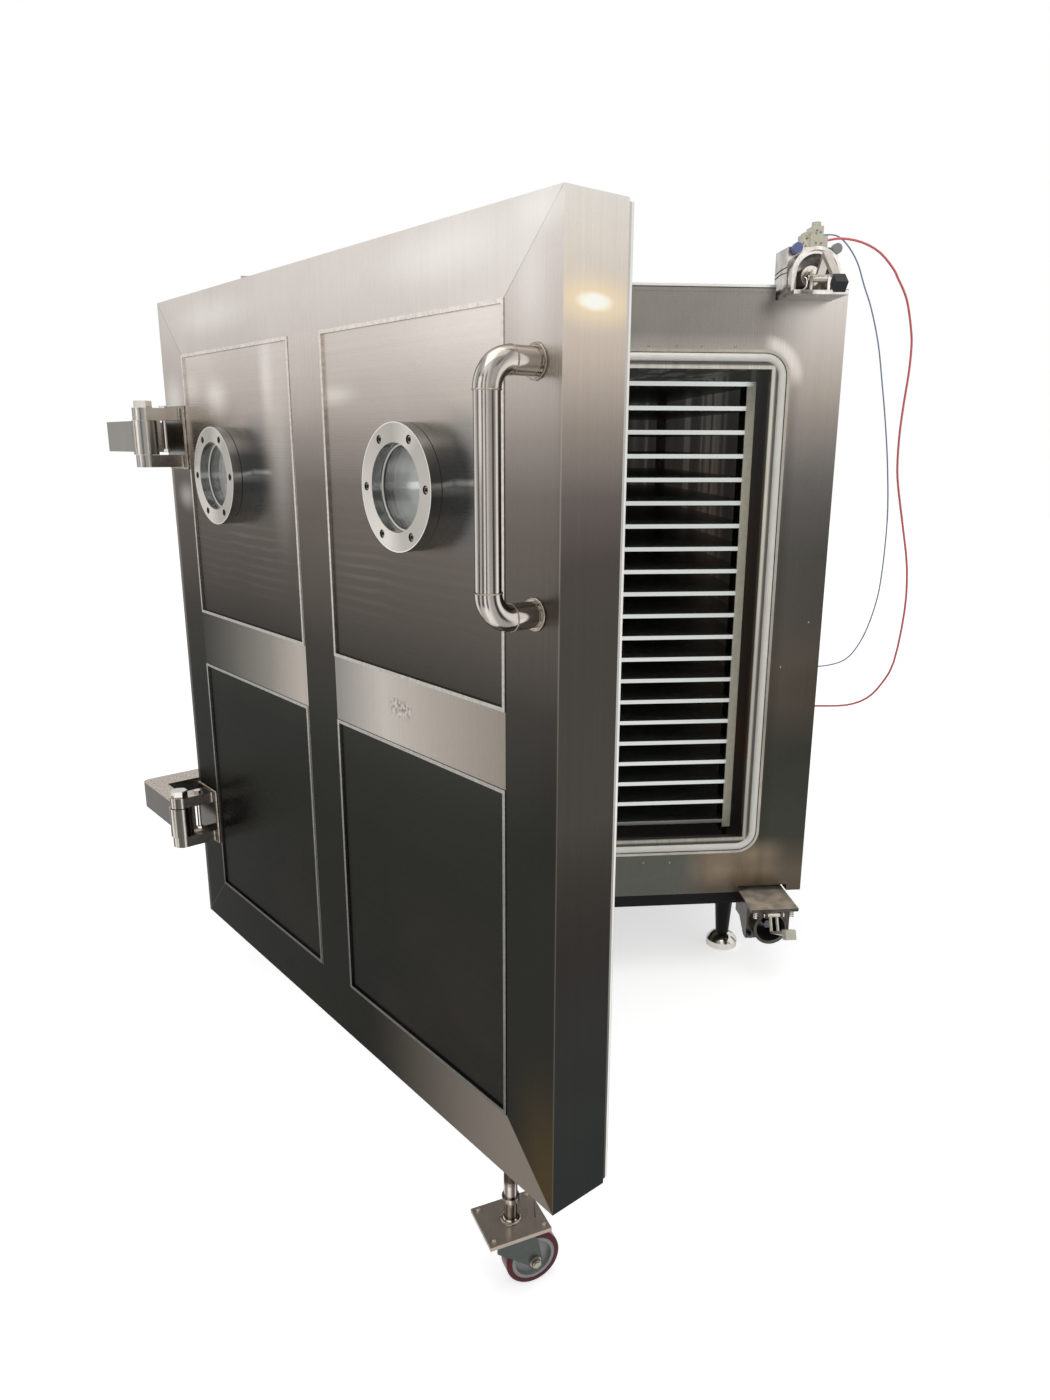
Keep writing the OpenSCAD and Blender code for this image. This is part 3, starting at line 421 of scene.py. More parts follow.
def smudging():
    """Group: soft cloudy patches, as hands and cloths leave on steel."""
    tree, n, into, out = new_group("smudging", [("Place", VECTOR, None), ("Size", NUMBER, 3.0)],
                                   [("Cloud", NUMBER)])
    warp = n.noise(into.outputs["Place"], 1.7, 2.0)
    bent = n.vector("ADD", into.outputs["Place"], n.combine(warp, warp, warp))
    cloud = n.noise(bent, into.outputs["Size"], 5.0, 0.55)
    n.fill(out, Cloud=n.span(cloud, 0.35, 0.65))
    return tree


def sheen(label, stops, first, second, axis):
    """Group: how much light a polished face sends back, by the way it faces. Shine runs round
    the axis, from the second direction towards the first; Flat is 1 where a face is square to
    the axis."""
    tree, n, _, out = new_group(label, [], [("Shine", NUMBER), ("Flat", NUMBER)])
    facing = n.add("ShaderNodeNewGeometry").outputs["Normal"]
    angle = n.math("ARCTAN2", n.dot(facing, first), n.dot(facing, second))
    flat = n.math("ABSOLUTE", n.dot(facing, axis))
    n.fill(out, Shine=n.greys(n.span(angle, -math.pi, math.pi), stops),
           Flat=n.span(flat, 0.6, 0.75))
    return tree


HANDLE_SHINE = [
    (0.0, 0.6), (0.2, 0.7), (0.25, 1.0), (0.33, 0.95), (0.355, 0.42), (0.41, 0.55), (0.44, 0.98),
    (0.485, 0.85), (0.515, 0.42), (0.58, 0.36), (0.60, 1.0), (0.62, 0.95), (0.64, 0.34),
    (0.76, 0.25), (0.85, 0.7), (1.0, 0.6),
]
HINGE_SHINE = [
    (0.0, 0.3), (0.25, 0.9), (0.28, 0.8), (0.31, 0.15), (0.375, 0.18), (0.395, 0.95),
    (0.452, 0.8), (0.472, 0.12), (0.53, 0.1), (0.556, 0.15), (0.572, 0.95), (0.598, 0.85),
    (0.62, 0.1), (0.75, 0.15), (1.0, 0.3),
]
FLANGE_SHINE = [
    (0.0, 0.6), (0.12, 0.5), (0.22, 0.8), (0.3, 0.7), (0.38, 0.42), (0.482, 0.36), (0.494, 1.0),
    (0.508, 1.0), (0.52, 0.38), (0.6, 0.36), (0.68, 0.62), (0.73, 1.0), (0.78, 0.9),
    (0.86, 0.5), (1.0, 0.6),
]

GROUPS = {
    "door": door_places(),
    "chamber": chamber_places(),
    "brushing": brushing(),
    "smudging": smudging(),
    "handle shine": sheen("handle shine", HANDLE_SHINE, AXIS_X, -AXIS_Y, AXIS_Z),
    "hinge shine": sheen("hinge shine", HINGE_SHINE, AXIS_X, -AXIS_Y, AXIS_Z),
    "flange shine": sheen("flange shine", FLANGE_SHINE, AXIS_Z, ALONG, INWARD),
}

# ---------------------------------------------------------------- kinds of finish


def new_material(name):
    material = bpy.data.materials.new(name)
    material.use_nodes = True
    return material, Nodes(material.node_tree), material.node_tree.nodes["Principled BSDF"]


def metal(n, shader, colour, rough, tint=0.6, metallic=1.0):
    n.fill(shader, Base_Color=colour, Roughness=rough, Metallic=metallic,
           Specular_Tint=(tint, tint, tint, 1.0))


def bump(n, shader, height, distance, strength):
    node = n.add("ShaderNodeBump", Height=height, Distance=distance, Strength=strength)
    n.fill(shader, Normal=node.outputs[0])


def steel(name, where, stops, grain, paint, streaks, smudges=0.1, rough=(0.22, 0.34), height=1.6,
          base=0.0, metallic=1.0, lift=1.0, glow=0.0):
    """Sheet steel with painted shade and reflection, dark low and bright high. stops are (share
    of the height, screen colour), paint adds what depends on the place, lift is how much
    brighter the painted upper part is, and glow makes the colour give painted light."""
    material, n, shader = new_material(name)
    sheet = n.place_on(where)
    sheet.share = n.span(sheet.up, base, base + height)
    sheet.cloud = n.use("smudging", Place=sheet.place).outputs["Cloud"]
    lines = n.use("brushing", Place=sheet.place, Grain=grain).outputs
    colour = paint(n, sheet, n.shades(sheet.share, stops))
    colour = n.scale(colour, n.times(n.vary(lines["Streak"], 1.0 - streaks, 1.0 + streaks),
                                     n.vary(lines["Fine"], 1.0 - streaks / 2, 1.0 + streaks / 2),
                                     n.span(sheet.cloud, 0, 1, 1.0 - smudges, 1.0 + smudges),
                                     n.ease(sheet.share, 0.62, 0.74, 1.0, lift)))
    roughness = n.plus(n.span(lines["Roughness"], 0.0, 1.0, *rough),
                       n.span(sheet.cloud, 0, 1, -0.03, 0.05))
    metal(n, shader, colour, roughness, 0.5, metallic)
    # painted light: the colour also glows, though the sheet is no lamp
    if glow:
        n.fill(shader, Emission_Color=colour, Emission_Strength=glow)
    bump(n, shader, lines["Height"], 0.00012, 0.25)
    return material


def machined(name, colour, rough, grain, streaks, stain=0.0, metallic=1.0, shine=None):
    """Turned or polished metal: fine tool marks along one axis and faint stains. shine, the levels
    of the dark runs and of the ends, paints reflection runs round a tube and on its ends."""
    material, n, shader = new_material(name)
    here = n.here()
    lines = n.use("brushing", Place=here, Grain=grain).outputs
    cloud = n.use("smudging", Place=here, Size=14.0).outputs["Cloud"]
    factor = n.vary(lines["Streak"], 1.0 - streaks, 1.0 + streaks)
    # painted reflections: light and dark runs round the tube, and a set level on its ends
    if shine is not None:
        dark, ends = shine
        runs, flat = n.use("handle shine").outputs
        level = n.plus(n.times(flat, ends),
                       n.times(n.span(runs, 0.0, 1.0, dark, 1.0), n.minus(1.0, flat)))
        factor = n.times(factor, level)
    stained = [c * share for c, share in zip(colour, (0.72, 0.66, 0.58))]
    base = n.between(n.times(cloud, stain), colour, stained)
    metal(n, shader, n.scale(base, factor), n.vary(lines["Fine"], rough - 0.04, rough + 0.06),
          metallic=metallic)
    bump(n, shader, lines["Height"], 0.00006, 0.2)
    return material


def plain(name, colour, rough, speckle=0.06, scale=60.0, relief=0.0002, metallic=0.0,
          specular=0.5):
    """Moulded, painted or cast finish with slight mottling."""
    material, n, shader = new_material(name)
    mottle = n.noise(n.here(), scale, 4.0, 0.6)
    pale = linear(*colour)
    dark = tuple(c * (1 - speckle * 2) for c in pale[:3]) + (1.0,)
    n.fill(shader, Base_Color=n.mix(n.span(mottle, 0.35, 0.65), dark, pale), Metallic=metallic,
           Specular_IOR_Level=specular, Roughness=n.vary(mottle, rough - 0.06, rough + 0.06))
    bump(n, shader, mottle, relief, 0.4)
    return material


# ---------------------------------------------------------------- door finishes

# Painted shade and reflection: shades run from a sheet's bottom edge (0) to its top edge (1)
DOOR_SHADES = [
    (0.0, (44, 44, 40)), (0.12, (45, 45, 42)), (0.32, (46, 46, 42)), (0.41, (50, 51, 47)),
    (0.45, (55, 55, 51)), (0.55, (68, 65, 61)), (0.61, (88, 82, 77)), (0.66, (97, 91, 86)),
    (0.71, (104, 97, 92)), (0.75, (116, 109, 104)), (0.80, (150, 142, 135)),
    (0.84, (180, 172, 164)), (0.875, (194, 186, 178)), (0.91, (206, 197, 190)),
    (0.965, (222, 214, 208)), (1.0, (226, 218, 211)),
]
FREE_EDGE_SHADES = [
    (0.0, (46, 49, 48)), (0.2, (48, 48, 46)), (0.31, (50, 47, 44)), (0.375, (57, 53, 49)),
    (0.44, (68, 66, 61)), (0.62, (70, 67, 62)), (0.69, (77, 71, 68)), (0.75, (101, 94, 90)),
    (0.81, (146, 136, 127)), (0.875, (197, 184, 171)), (0.94, (217, 207, 195)),
    (1.0, (225, 220, 212)),
]
CORNER_SHADES = [
    (0.0, (96, 92, 86)), (0.35, (112, 107, 100)), (0.6, (142, 136, 128)), (0.8, (176, 168, 160)),
    (1.0, (222, 216, 210)),
]
BEAD_SHADES = [
    (0.0, (104, 102, 98)), (0.125, (112, 110, 106)), (0.25, (130, 128, 124)),
    (0.375, (141, 139, 134)), (0.44, (166, 163, 157)), (0.56, (186, 182, 176)),
    (0.69, (206, 201, 195)), (0.81, (214, 208, 202)), (0.875, (219, 213, 206)),
    (0.94, (229, 223, 216)), (1.0, (236, 230, 224)),
]
LINER_SHADES = [
    (0.0, (75, 73, 68)), (0.19, (108, 106, 100)), (0.27, (147, 145, 140)),
    (0.40, (160, 158, 152)), (0.46, (180, 178, 172)), (0.7, (186, 184, 178)),
    (1.0, (206, 203, 196)),
]
# The cross strips' painted reflection shades run from the hinge edge to the free edge
CROSS_STRIP_SHADES = [
    (0.0, (70, 70, 66)), (0.12, (100, 98, 93)), (0.3, (140, 136, 129)), (0.43, (180, 172, 163)),
    (0.56, (142, 138, 134)), (0.70, (190, 183, 175)), (0.85, (166, 158, 148)),
    (1.0, (146, 138, 128)),
]
# Soft painted glare highlights: middle along and up, half width, half height, strength
SHEET_GLARES = [
    (0.153, 1.40, 0.10, 0.05, 0.25), (0.301, 1.37, 0.10, 0.07, 0.5), (0.56, 1.42, 0.05, 0.16, 0.4),
    (0.83, 1.36, 0.13, 0.03, 0.35), (0.60, 1.28, 0.09, 0.30, 0.2), (1.22, 1.46, 0.30, 0.12, 0.25),
]
CASING_GLARES = [
    (1.19, 1.555, 0.30, 0.07, 0.6), (1.42, 1.58, 0.10, 0.05, 0.7), (1.40, 1.49, 0.07, 0.14, 0.4),
    (0.33, 1.545, 0.30, 0.06, 0.55), (0.06, 1.37, 0.10, 0.10, 0.6), (0.09, 1.15, 0.08, 0.05, 0.35),
]
# Ovals on the door: two middles, half width, half height
LAMP_ON_EDGE = (0.058, 1.462, 0.039, 0.014)
RUBBED_SPOT = (1.034, 0.806, 0.045, 0.020)
# Limits on the door's face and through its edge, in metres
CROSS_STRIP, CROSS_STRIP_ENDS = (0.735, 0.865), (0.125, 1.342)
UPRIGHT_STRIP, UPRIGHT_BRIGHT_LINE = (0.670, 0.797), (0.670, 0.6725)
LINER_CORNER = (0.1285, 0.1326)


def glares(n, sheet, colour, patches):
    # painted glare highlights, each fading out from its middle
    for along, up, wide, high, strength in patches:
        far = n.oval(sheet.along, sheet.up, along, up, wide, high)
        near = n.math("POWER", n.span(far, 0.0, 1.0, 1.0, 0.0), 3.0)
        colour = n.lay(n.times(near, strength), colour, 250, 246, 240)
    return colour


def door_sheet_paint(n, sheet, colour):
    """Panels: painted highlights make the upper ones a little brighter at the door's edges, the
    lower ones warm.
    """
    # painted highlight towards both edges of the upper panels
    ends = n.plus(n.ease(sheet.along, 0.42, 0.13, 0.0, 0.10),
                  n.ease(sheet.along, 1.12, 1.36, 0.0, 0.14))
    colour = n.scale(colour, n.plus(n.times(ends, n.span(sheet.share, 0.45, 0.9)), 1.0))
    warm = n.times(n.span(sheet.cloud, 0.4, 1.0, 0.0, 0.25), n.span(sheet.share, 0.35, 0.2))
    colour = n.lay(warm, colour, 62, 54, 46)
    # painted reflections of slight waves across the thin sheets under the sight glasses
    drift = n.noise(sheet.place, 5.0, 2.0)
    waves = n.math("SINE", n.plus(n.times(sheet.up, 290.0), n.times(drift, 7.0)))
    where = n.times(n.inside(sheet.up, 0.98, 1.10, 0.05),
                    n.plus(n.span(sheet.along, 0.62, 0.5, 0.1, 1.0),
                           n.times(n.inside(sheet.along, 0.84, 1.0, 0.05), 0.4), clamp=True),
                    n.span(sheet.cloud, 0.0, 0.7, 0.2, 1.0))
    colour = n.lay(n.times(n.span(waves, 0.0, 1.0, 0.0, 0.3), where), colour, 150, 142, 138)
    for middle in (u / 1000 for u in SIGHT_U):
        # the flange mirrored in the sheet: a cool shade beside it with one bright streak
        beside = n.times(n.inside(sheet.along, middle + 0.09, middle + 0.165, 0.02),
                         n.inside(sheet.up, 1.13, 1.30, 0.04), 0.6)
        colour = n.lay(beside, colour, 98, 106, 108)
        streak = n.times(n.inside(sheet.along, middle + 0.10, middle + 0.19, 0.015),
                         n.inside(sheet.up, 1.213, 1.219, 0.004), 0.7)
        colour = n.lay(streak, colour, 226, 222, 216)
    return glares(n, sheet, colour, SHEET_GLARES)


def casing_paint(n, sheet, colour):
    """Border pieces meet in mitred welds, with painted reflections on the pieces; the walls
    behind the front have their own painted shades.
    """
    wide, high = DOOR_W / 1000, DOOR_H / 1000
    right, top = n.minus(wide, sheet.along), n.minus(high, sheet.up)
    # the top and bottom pieces, cut off by the mitres, with painted reflections near the free side
    sideways = n.math("MINIMUM", sheet.along, right)
    low_piece = n.span(n.minus(sideways, sheet.up), -0.0004, 0.0004)
    high_piece = n.span(n.minus(sideways, top), -0.0004, 0.0004)
    near_free = n.span(n.ease(sheet.along, 0.9, 1.46), 0.0, 1.0, 0.2, 0.75)
    colour = n.lay(n.times(high_piece, near_free), colour, 232, 226, 220)
    colour = n.lay(n.times(low_piece, n.ease(sheet.along, 0.85, 1.4)), colour, 126, 118, 109)
    # the free side is warm and dark at its foot
    foot = n.times(n.ease(sheet.along, wide - 0.130, wide - 0.02), n.ease(sheet.up, 0.34, 0.02),
                   n.minus(1.0, low_piece))
    colour = n.lay(foot, colour, 74, 63, 44)
    # mitre welds: a thin ground line along each diagonal
    for edge in (sheet.up, top):
        gap = n.math("ABSOLUTE", n.minus(sideways, edge))
        colour = n.lay(n.span(gap, 0.0006, 0.0016, 0.55, 0.0), colour, 120, 112, 104)
    # rounded corners catch the light all the way down
    bright = n.shades(sheet.share, CORNER_SHADES)
    colour = n.mix(n.span(sheet.along, 0.008, 0.018, 0.85, 0.0), colour, bright)
    colour = n.mix(n.span(right, 0.001, 0.003, 0.5, 0.0), colour, bright)
    colour = glares(n, sheet, colour, CASING_GLARES)
    # walls behind the front face, with one lamp mirrored in them
    wall = n.shades(sheet.share, FREE_EDGE_SHADES)
    lamp = n.oval(sheet.inward, sheet.up, *LAMP_ON_EDGE)
    halo = n.math("POWER", n.span(lamp, 0.0, 14.0, 1.0, 0.0), 3.0)
    wall = n.lay(n.times(halo, 0.75), wall, 250, 226, 182)
    wall = n.lay(n.ease(lamp, 0.0, 1.1, 1.0, 0.0), wall, 255, 251, 240)
    return n.mix(n.span(sheet.inward, 0.0004, 0.0010), colour, wall)


def liner_paint(n, sheet, colour):
    """Liner: a painted highlight on its outer corner shows as one white line behind the free edge.
    """
    corner = n.times(n.inside(sheet.inward, *LINER_CORNER), n.span(sheet.along, 1.40, 1.42), 0.85)
    return n.lay(corner, colour, 244, 242, 236)


def strip_paint(n, sheet, colour):
    """Cross strips carry painted reflections: lighter than the upright one, brightest near the
    middle of each.
    """
    cross = n.times(n.inside(sheet.up, *CROSS_STRIP),
                    n.minus(1.0, n.inside(sheet.along, *UPRIGHT_STRIP)))
    shade = n.shades(n.span(sheet.along, *CROSS_STRIP_ENDS), CROSS_STRIP_SHADES)
    colour = n.mix(cross, colour, shade)
    # rubbed spot on the right cross strip
    ragged = n.vary(n.noise(sheet.place, 60.0), -0.5, 0.5)
    spot = n.plus(n.oval(sheet.along, sheet.up, *RUBBED_SPOT), ragged)
    marks = n.span(n.noise(sheet.place, 130.0, 3.0), 0.44, 0.56)
    rub = n.between(marks, (104, 98, 92), (206, 201, 194))
    colour = n.mix(n.span(spot, 0.2, 1.1, 0.6, 0.0), colour, rub)
    # pale line along the upright strip's left side
    return n.lay(n.inside(sheet.along, *UPRIGHT_BRIGHT_LINE), colour, 190, 184, 176)


def bead_paint(n, sheet, colour):
    """Ground weld beads: pale lines, slightly lumpy."""
    return n.scale(colour, n.vary(n.noise(sheet.place, 120.0, 2.0), 0.86, 1.1))


# Limits of the painted highlight on the rim, and painted reflection levels round the faces
FLANGE_RIM = (0.1030, 0.1042)
FLANGE_FAN = [
    (0.0, 0.86), (0.1, 0.96), (0.2, 1), (0.28, 0.66), (0.36, 0.62), (0.5, 0.70), (0.62, 0.64),
    (0.68, 0.88), (0.76, 0.6), (0.9, 0.74), (1.0, 0.86),
]


def flange_steel():
    """Sight glass flanges and rings: turned faces with painted reflections that fan from bright
    to dull, painted shine and shade on the sides, and a painted highlight on the rim.
    """
    material, n, shader = new_material("turned flange steel")
    flange = n.place_on("door")
    shine, flat = n.use("flange shine").outputs
    # both flanges are read from their own middles
    left, right = SIGHT_U
    side = n.minus(flange.along, (left + right) / 2000)
    across = n.times(n.minus(n.math("ABSOLUTE", side), (right - left) / 2000),
                     n.math("SIGN", side))
    above = n.minus(flange.up, SIGHT_V / 1000)
    turn = n.span(n.math("ARCTAN2", above, across), -math.pi, math.pi)
    out = n.distance(across, above)
    marks = n.noise(n.combine(n.times(out, 1500.0), 0.0, 0.0), 1.0, 2.0)
    # painted reflections fan round the faces, the sides take the flange shine, the rim a highlight
    face = n.scale(n.scale(linear(222, 217, 209)[:3], n.greys(turn, FLANGE_FAN)),
                   n.vary(marks, 0.93, 1.05))
    wall = n.scale(linear(222, 222, 219)[:3], shine)
    rim = n.times(flat, n.span(out, *FLANGE_RIM))
    colour = n.lay(rim, n.mix(flat, wall, face), 244, 241, 235)
    metal(n, shader, colour, n.vary(marks, 0.14, 0.22))
    bump(n, shader, marks, 0.00005, 0.2)
    return material


def sight_glass():
    glass, n, shader = new_material("sight glass")
    n.fill(shader, Base_Color=(0.84, 0.87, 0.86, 1), Metallic=0.0, Transmission_Weight=0.95,
           IOR=1.47, Roughness=n.span(n.noise(n.here(), 12.0), 0.45, 0.7, 0.0, 0.05))
    return glass


def hinge_steel():
    """Thick hinge parts with painted light: bright tops with a sawn grit, painted shade on the
    flanks low down, painted reflection runs on the barrels.
    """
    material, n, shader = new_material("hinge steel")
    here = n.here()
    up = n.add("ShaderNodeSeparateXYZ", Vector=here).outputs["Z"]
    shine, flat = n.use("hinge shine").outputs
    streak = n.use("brushing", Place=here, Grain=(700.0, 700.0, 6.0)).outputs["Streak"]
    grit = n.noise(here, 220.0, 3.0)
    # painted shade: the flanks are darker low down
    flank = n.between(n.span(up, 0.8, 1.5), (40, 38, 35), (138, 136, 132))
    # painted reflection runs on the barrels
    barrel = n.lay(shine, flank, 226, 219, 209)
    # painted light: faces turned up or down are bright, with a sawn grit
    top = n.between(n.span(grit, 0.35, 0.65), (168, 157, 145), (222, 213, 202))
    colour = n.scale(n.mix(flat, barrel, top), n.vary(streak, 0.92, 1.06))
    metal(n, shader, colour, n.vary(grit, 0.16, 0.26))
    bump(n, shader, grit, 0.00015, 0.25)
    return material


def column_steel():
    """Caster column: painted shade and reflection of the door above its collar, polished below,
    with painted reflection runs on both.
    """
    material, n, shader = new_material("caster column steel")
    here = n.here()
    up = n.add("ShaderNodeSeparateXYZ", Vector=here).outputs["Z"]
    shine = n.use("handle shine").outputs["Shine"]
    mottle = n.noise(here, 60.0, 3.0)
    # painted shade above the collar, painted reflection runs on both parts
    dark = n.between(shine, (30, 23, 19), (84, 70, 60))
    bright = n.between(n.span(shine, 0.35, 0.95), (70, 60, 52), (214, 206, 198))
    height = n.plus(up, n.vary(mottle, -0.006, 0.006))
    metal(n, shader, n.mix(n.span(height, 0.236, 0.246), bright, dark),
          n.vary(mottle, 0.14, 0.22), 0.5)
    return material


# ---------------------------------------------------------------- chamber finishes

# Painted shade and reflection: shades from the sheet's bottom (0) to its top (1)
CHAMBER_SHADES = [
    (0.0, (82, 74, 64)), (0.04, (88, 80, 70)), (0.065, (78, 72, 62)), (0.10, (60, 60, 54)),
    (0.2, (58, 58, 53)), (0.27, (60, 60, 54)), (0.35, (82, 75, 67)), (0.42, (87, 80, 72)),
    (0.5, (82, 78, 73)), (0.6, (80, 78, 73)), (0.67, (90, 87, 84)), (0.72, (104, 101, 97)),
    (0.77, (124, 118, 113)), (0.81, (138, 130, 123)), (0.86, (157, 149, 140)),
    (0.91, (170, 163, 156)), (0.96, (181, 175, 169)), (1.0, (186, 181, 176)),
]
# Inside the vessel: painted shade and reflection by height
VESSEL_SHADES = [(0.0, (50, 48, 45)), (0.1, (74, 70, 64)), (0.5, (84, 76, 68)),
                 (1.0, (104, 104, 100))]
VESSEL_RUNS = [(0.0, 0.5), (0.5, 0.7), (0.60, 2.2), (0.64, 0.8), (1.0, 0.6)]
THROAT_HALF_W, THROAT_HALF_H, THROAT_MIDDLE = 0.602, 0.684, OPENING_Z / 1000
# Middle of the opening's rounded top corner by the clamp, and limits up the folded rim above
CORNER_ALONG, CORNER_UP = 0.575, 1.80
RIM_GROOVE, RIM_EDGE = (2.0325, 2.0350), (2.035, 2.0365)


def chamber_paint(n, sheet, colour):
    """Front face: darker towards the hinge side at the top, warm by the opening's sill."""
    other_faces = colour
    top = n.times(n.ease(sheet.along, 0.72, 0.56), n.span(sheet.up, 1.84, 1.92), 0.9)
    colour = n.lay(top, colour, 126, 120, 115)
    sill = n.times(n.ease(sheet.along, 0.76, 0.66), n.inside(sheet.up, 0.32, 0.43, 0.03),
                   n.span(sheet.cloud, 0.0, 1.0, 0.4, 1.0))
    colour = n.lay(sill, colour, 130, 116, 98)
    # painted highlight round the opening's rounded top corner
    a, b = n.minus(sheet.along, CORNER_ALONG), n.minus(sheet.up, CORNER_UP)
    corner = n.times(n.inside(n.distance(a, b), 0.088, 0.105, 0.016),
                     n.times(n.span(a, 0.0, 0.03), n.span(b, -0.02, 0.02)), 0.75)
    colour = n.lay(corner, colour, 236, 230, 222)
    # the sheet beside the seal is shaded, and cool below the sill on the hinge side
    beside = n.times(n.inside(sheet.along, 0.655, 0.675, 0.012), n.span(sheet.up, 1.86, 1.74),
                     0.28)
    colour = n.lay(beside, colour, 40, 38, 36)
    cool = n.times(n.span(sheet.along, 0.5, 0.42), n.span(sheet.up, 0.46, 0.43))
    colour = n.lay(cool, colour, 84, 84, 78)
    # folded rim along the top: painted shade in the groove under it, a painted highlight on its
    # edge
    colour = n.lay(n.times(n.inside(sheet.up, *RIM_GROOVE), 0.85), colour, 44, 42, 40)
    colour = n.lay(n.span(sheet.up, *RIM_EDGE, 0.0, 0.8), colour, 232, 228, 222)
    return n.mix(n.span(sheet.inward, 0.0004, 0.002, 1.0, 0.0), other_faces, colour)


def interior_paint(n, sheet, colour):
    """Vessel walls: dark, with warm reflections of the room in patches."""
    warm = n.times(n.span(sheet.cloud, 0.35, 1.0, 0.0, 0.5), n.inside(sheet.share, 0.12, 0.8, 0.1))
    colour = n.lay(warm, colour, 104, 66, 48)
    # upright pale runs where the walls mirror the doorway
    above_floor = n.times(n.span(sheet.up, 0.464, 0.47), 9.0)
    runs = n.noise(n.combine(n.times(sheet.along, above_floor), n.times(sheet.inward, 3.0), 0.0),
                   1.0, 3.0, 0.7)
    colour = n.scale(colour, n.greys(runs, VESSEL_RUNS))
    # front lip round the opening: painted highlight at its inner edge, painted shade beside
    # the seal and lower down
    across = n.minus(n.math("ABSOLUTE", sheet.along), THROAT_HALF_W)
    upward = n.math("ABSOLUTE", n.minus(sheet.up, THROAT_MIDDLE))
    edge = n.math("MAXIMUM", across, n.minus(upward, THROAT_HALF_H))
    lip = n.between(n.span(edge, 0.007, 0.012), (186, 181, 170), (84, 82, 77))
    lip = n.scale(lip, n.span(sheet.up, 0.5, 1.3, 0.62, 1.0))
    return n.mix(n.span(sheet.inward, 0.001, 0.003, 1.0, 0.0), colour, lip)


def hood_steel(name, colour, axis_up, mouth, metallic, inner, flank):
    """Clamp housing: hand-polished sheet with soft folds, painted with reflection runs and with
    shade along the folds. mouth is the radius of its opening, inner the level of the painted
    shade inside that, and flank the painted level of its upright sides."""
    material, n, shader = new_material(name)
    hood = n.place_on("chamber")
    shine, flat = n.use("handle shine").outputs
    folds = n.noise(hood.place, 26.0, 2.0)
    out = n.distance(n.minus(hood.along, CLAMP_X / 1000), n.minus(hood.up, axis_up))
    # painted shade inside the mouth
    deep = n.times(n.span(out, mouth - 0.001, mouth + 0.001, 1.0, 0.0),
                   n.span(hood.inward, -0.094, -0.088))
    # painted reflection runs, painted shade by the folds, in the mouth and on the upright sides
    level = n.times(n.span(shine, 0.0, 1.0, 0.55, 1.0), n.span(folds, 0.38, 0.62, 0.72, 1.1),
                    n.span(deep, 0.0, 1.0, 1.0, inner), n.span(flat, 0.0, 1.0, flank, 1.0))
    metal(n, shader, n.scale(linear(*colour)[:3], level), n.vary(folds, 0.1, 0.22), 0.7, metallic)
    bump(n, shader, folds, 0.004, 0.35)
    return material


# ---------------------------------------------------------------- all materials


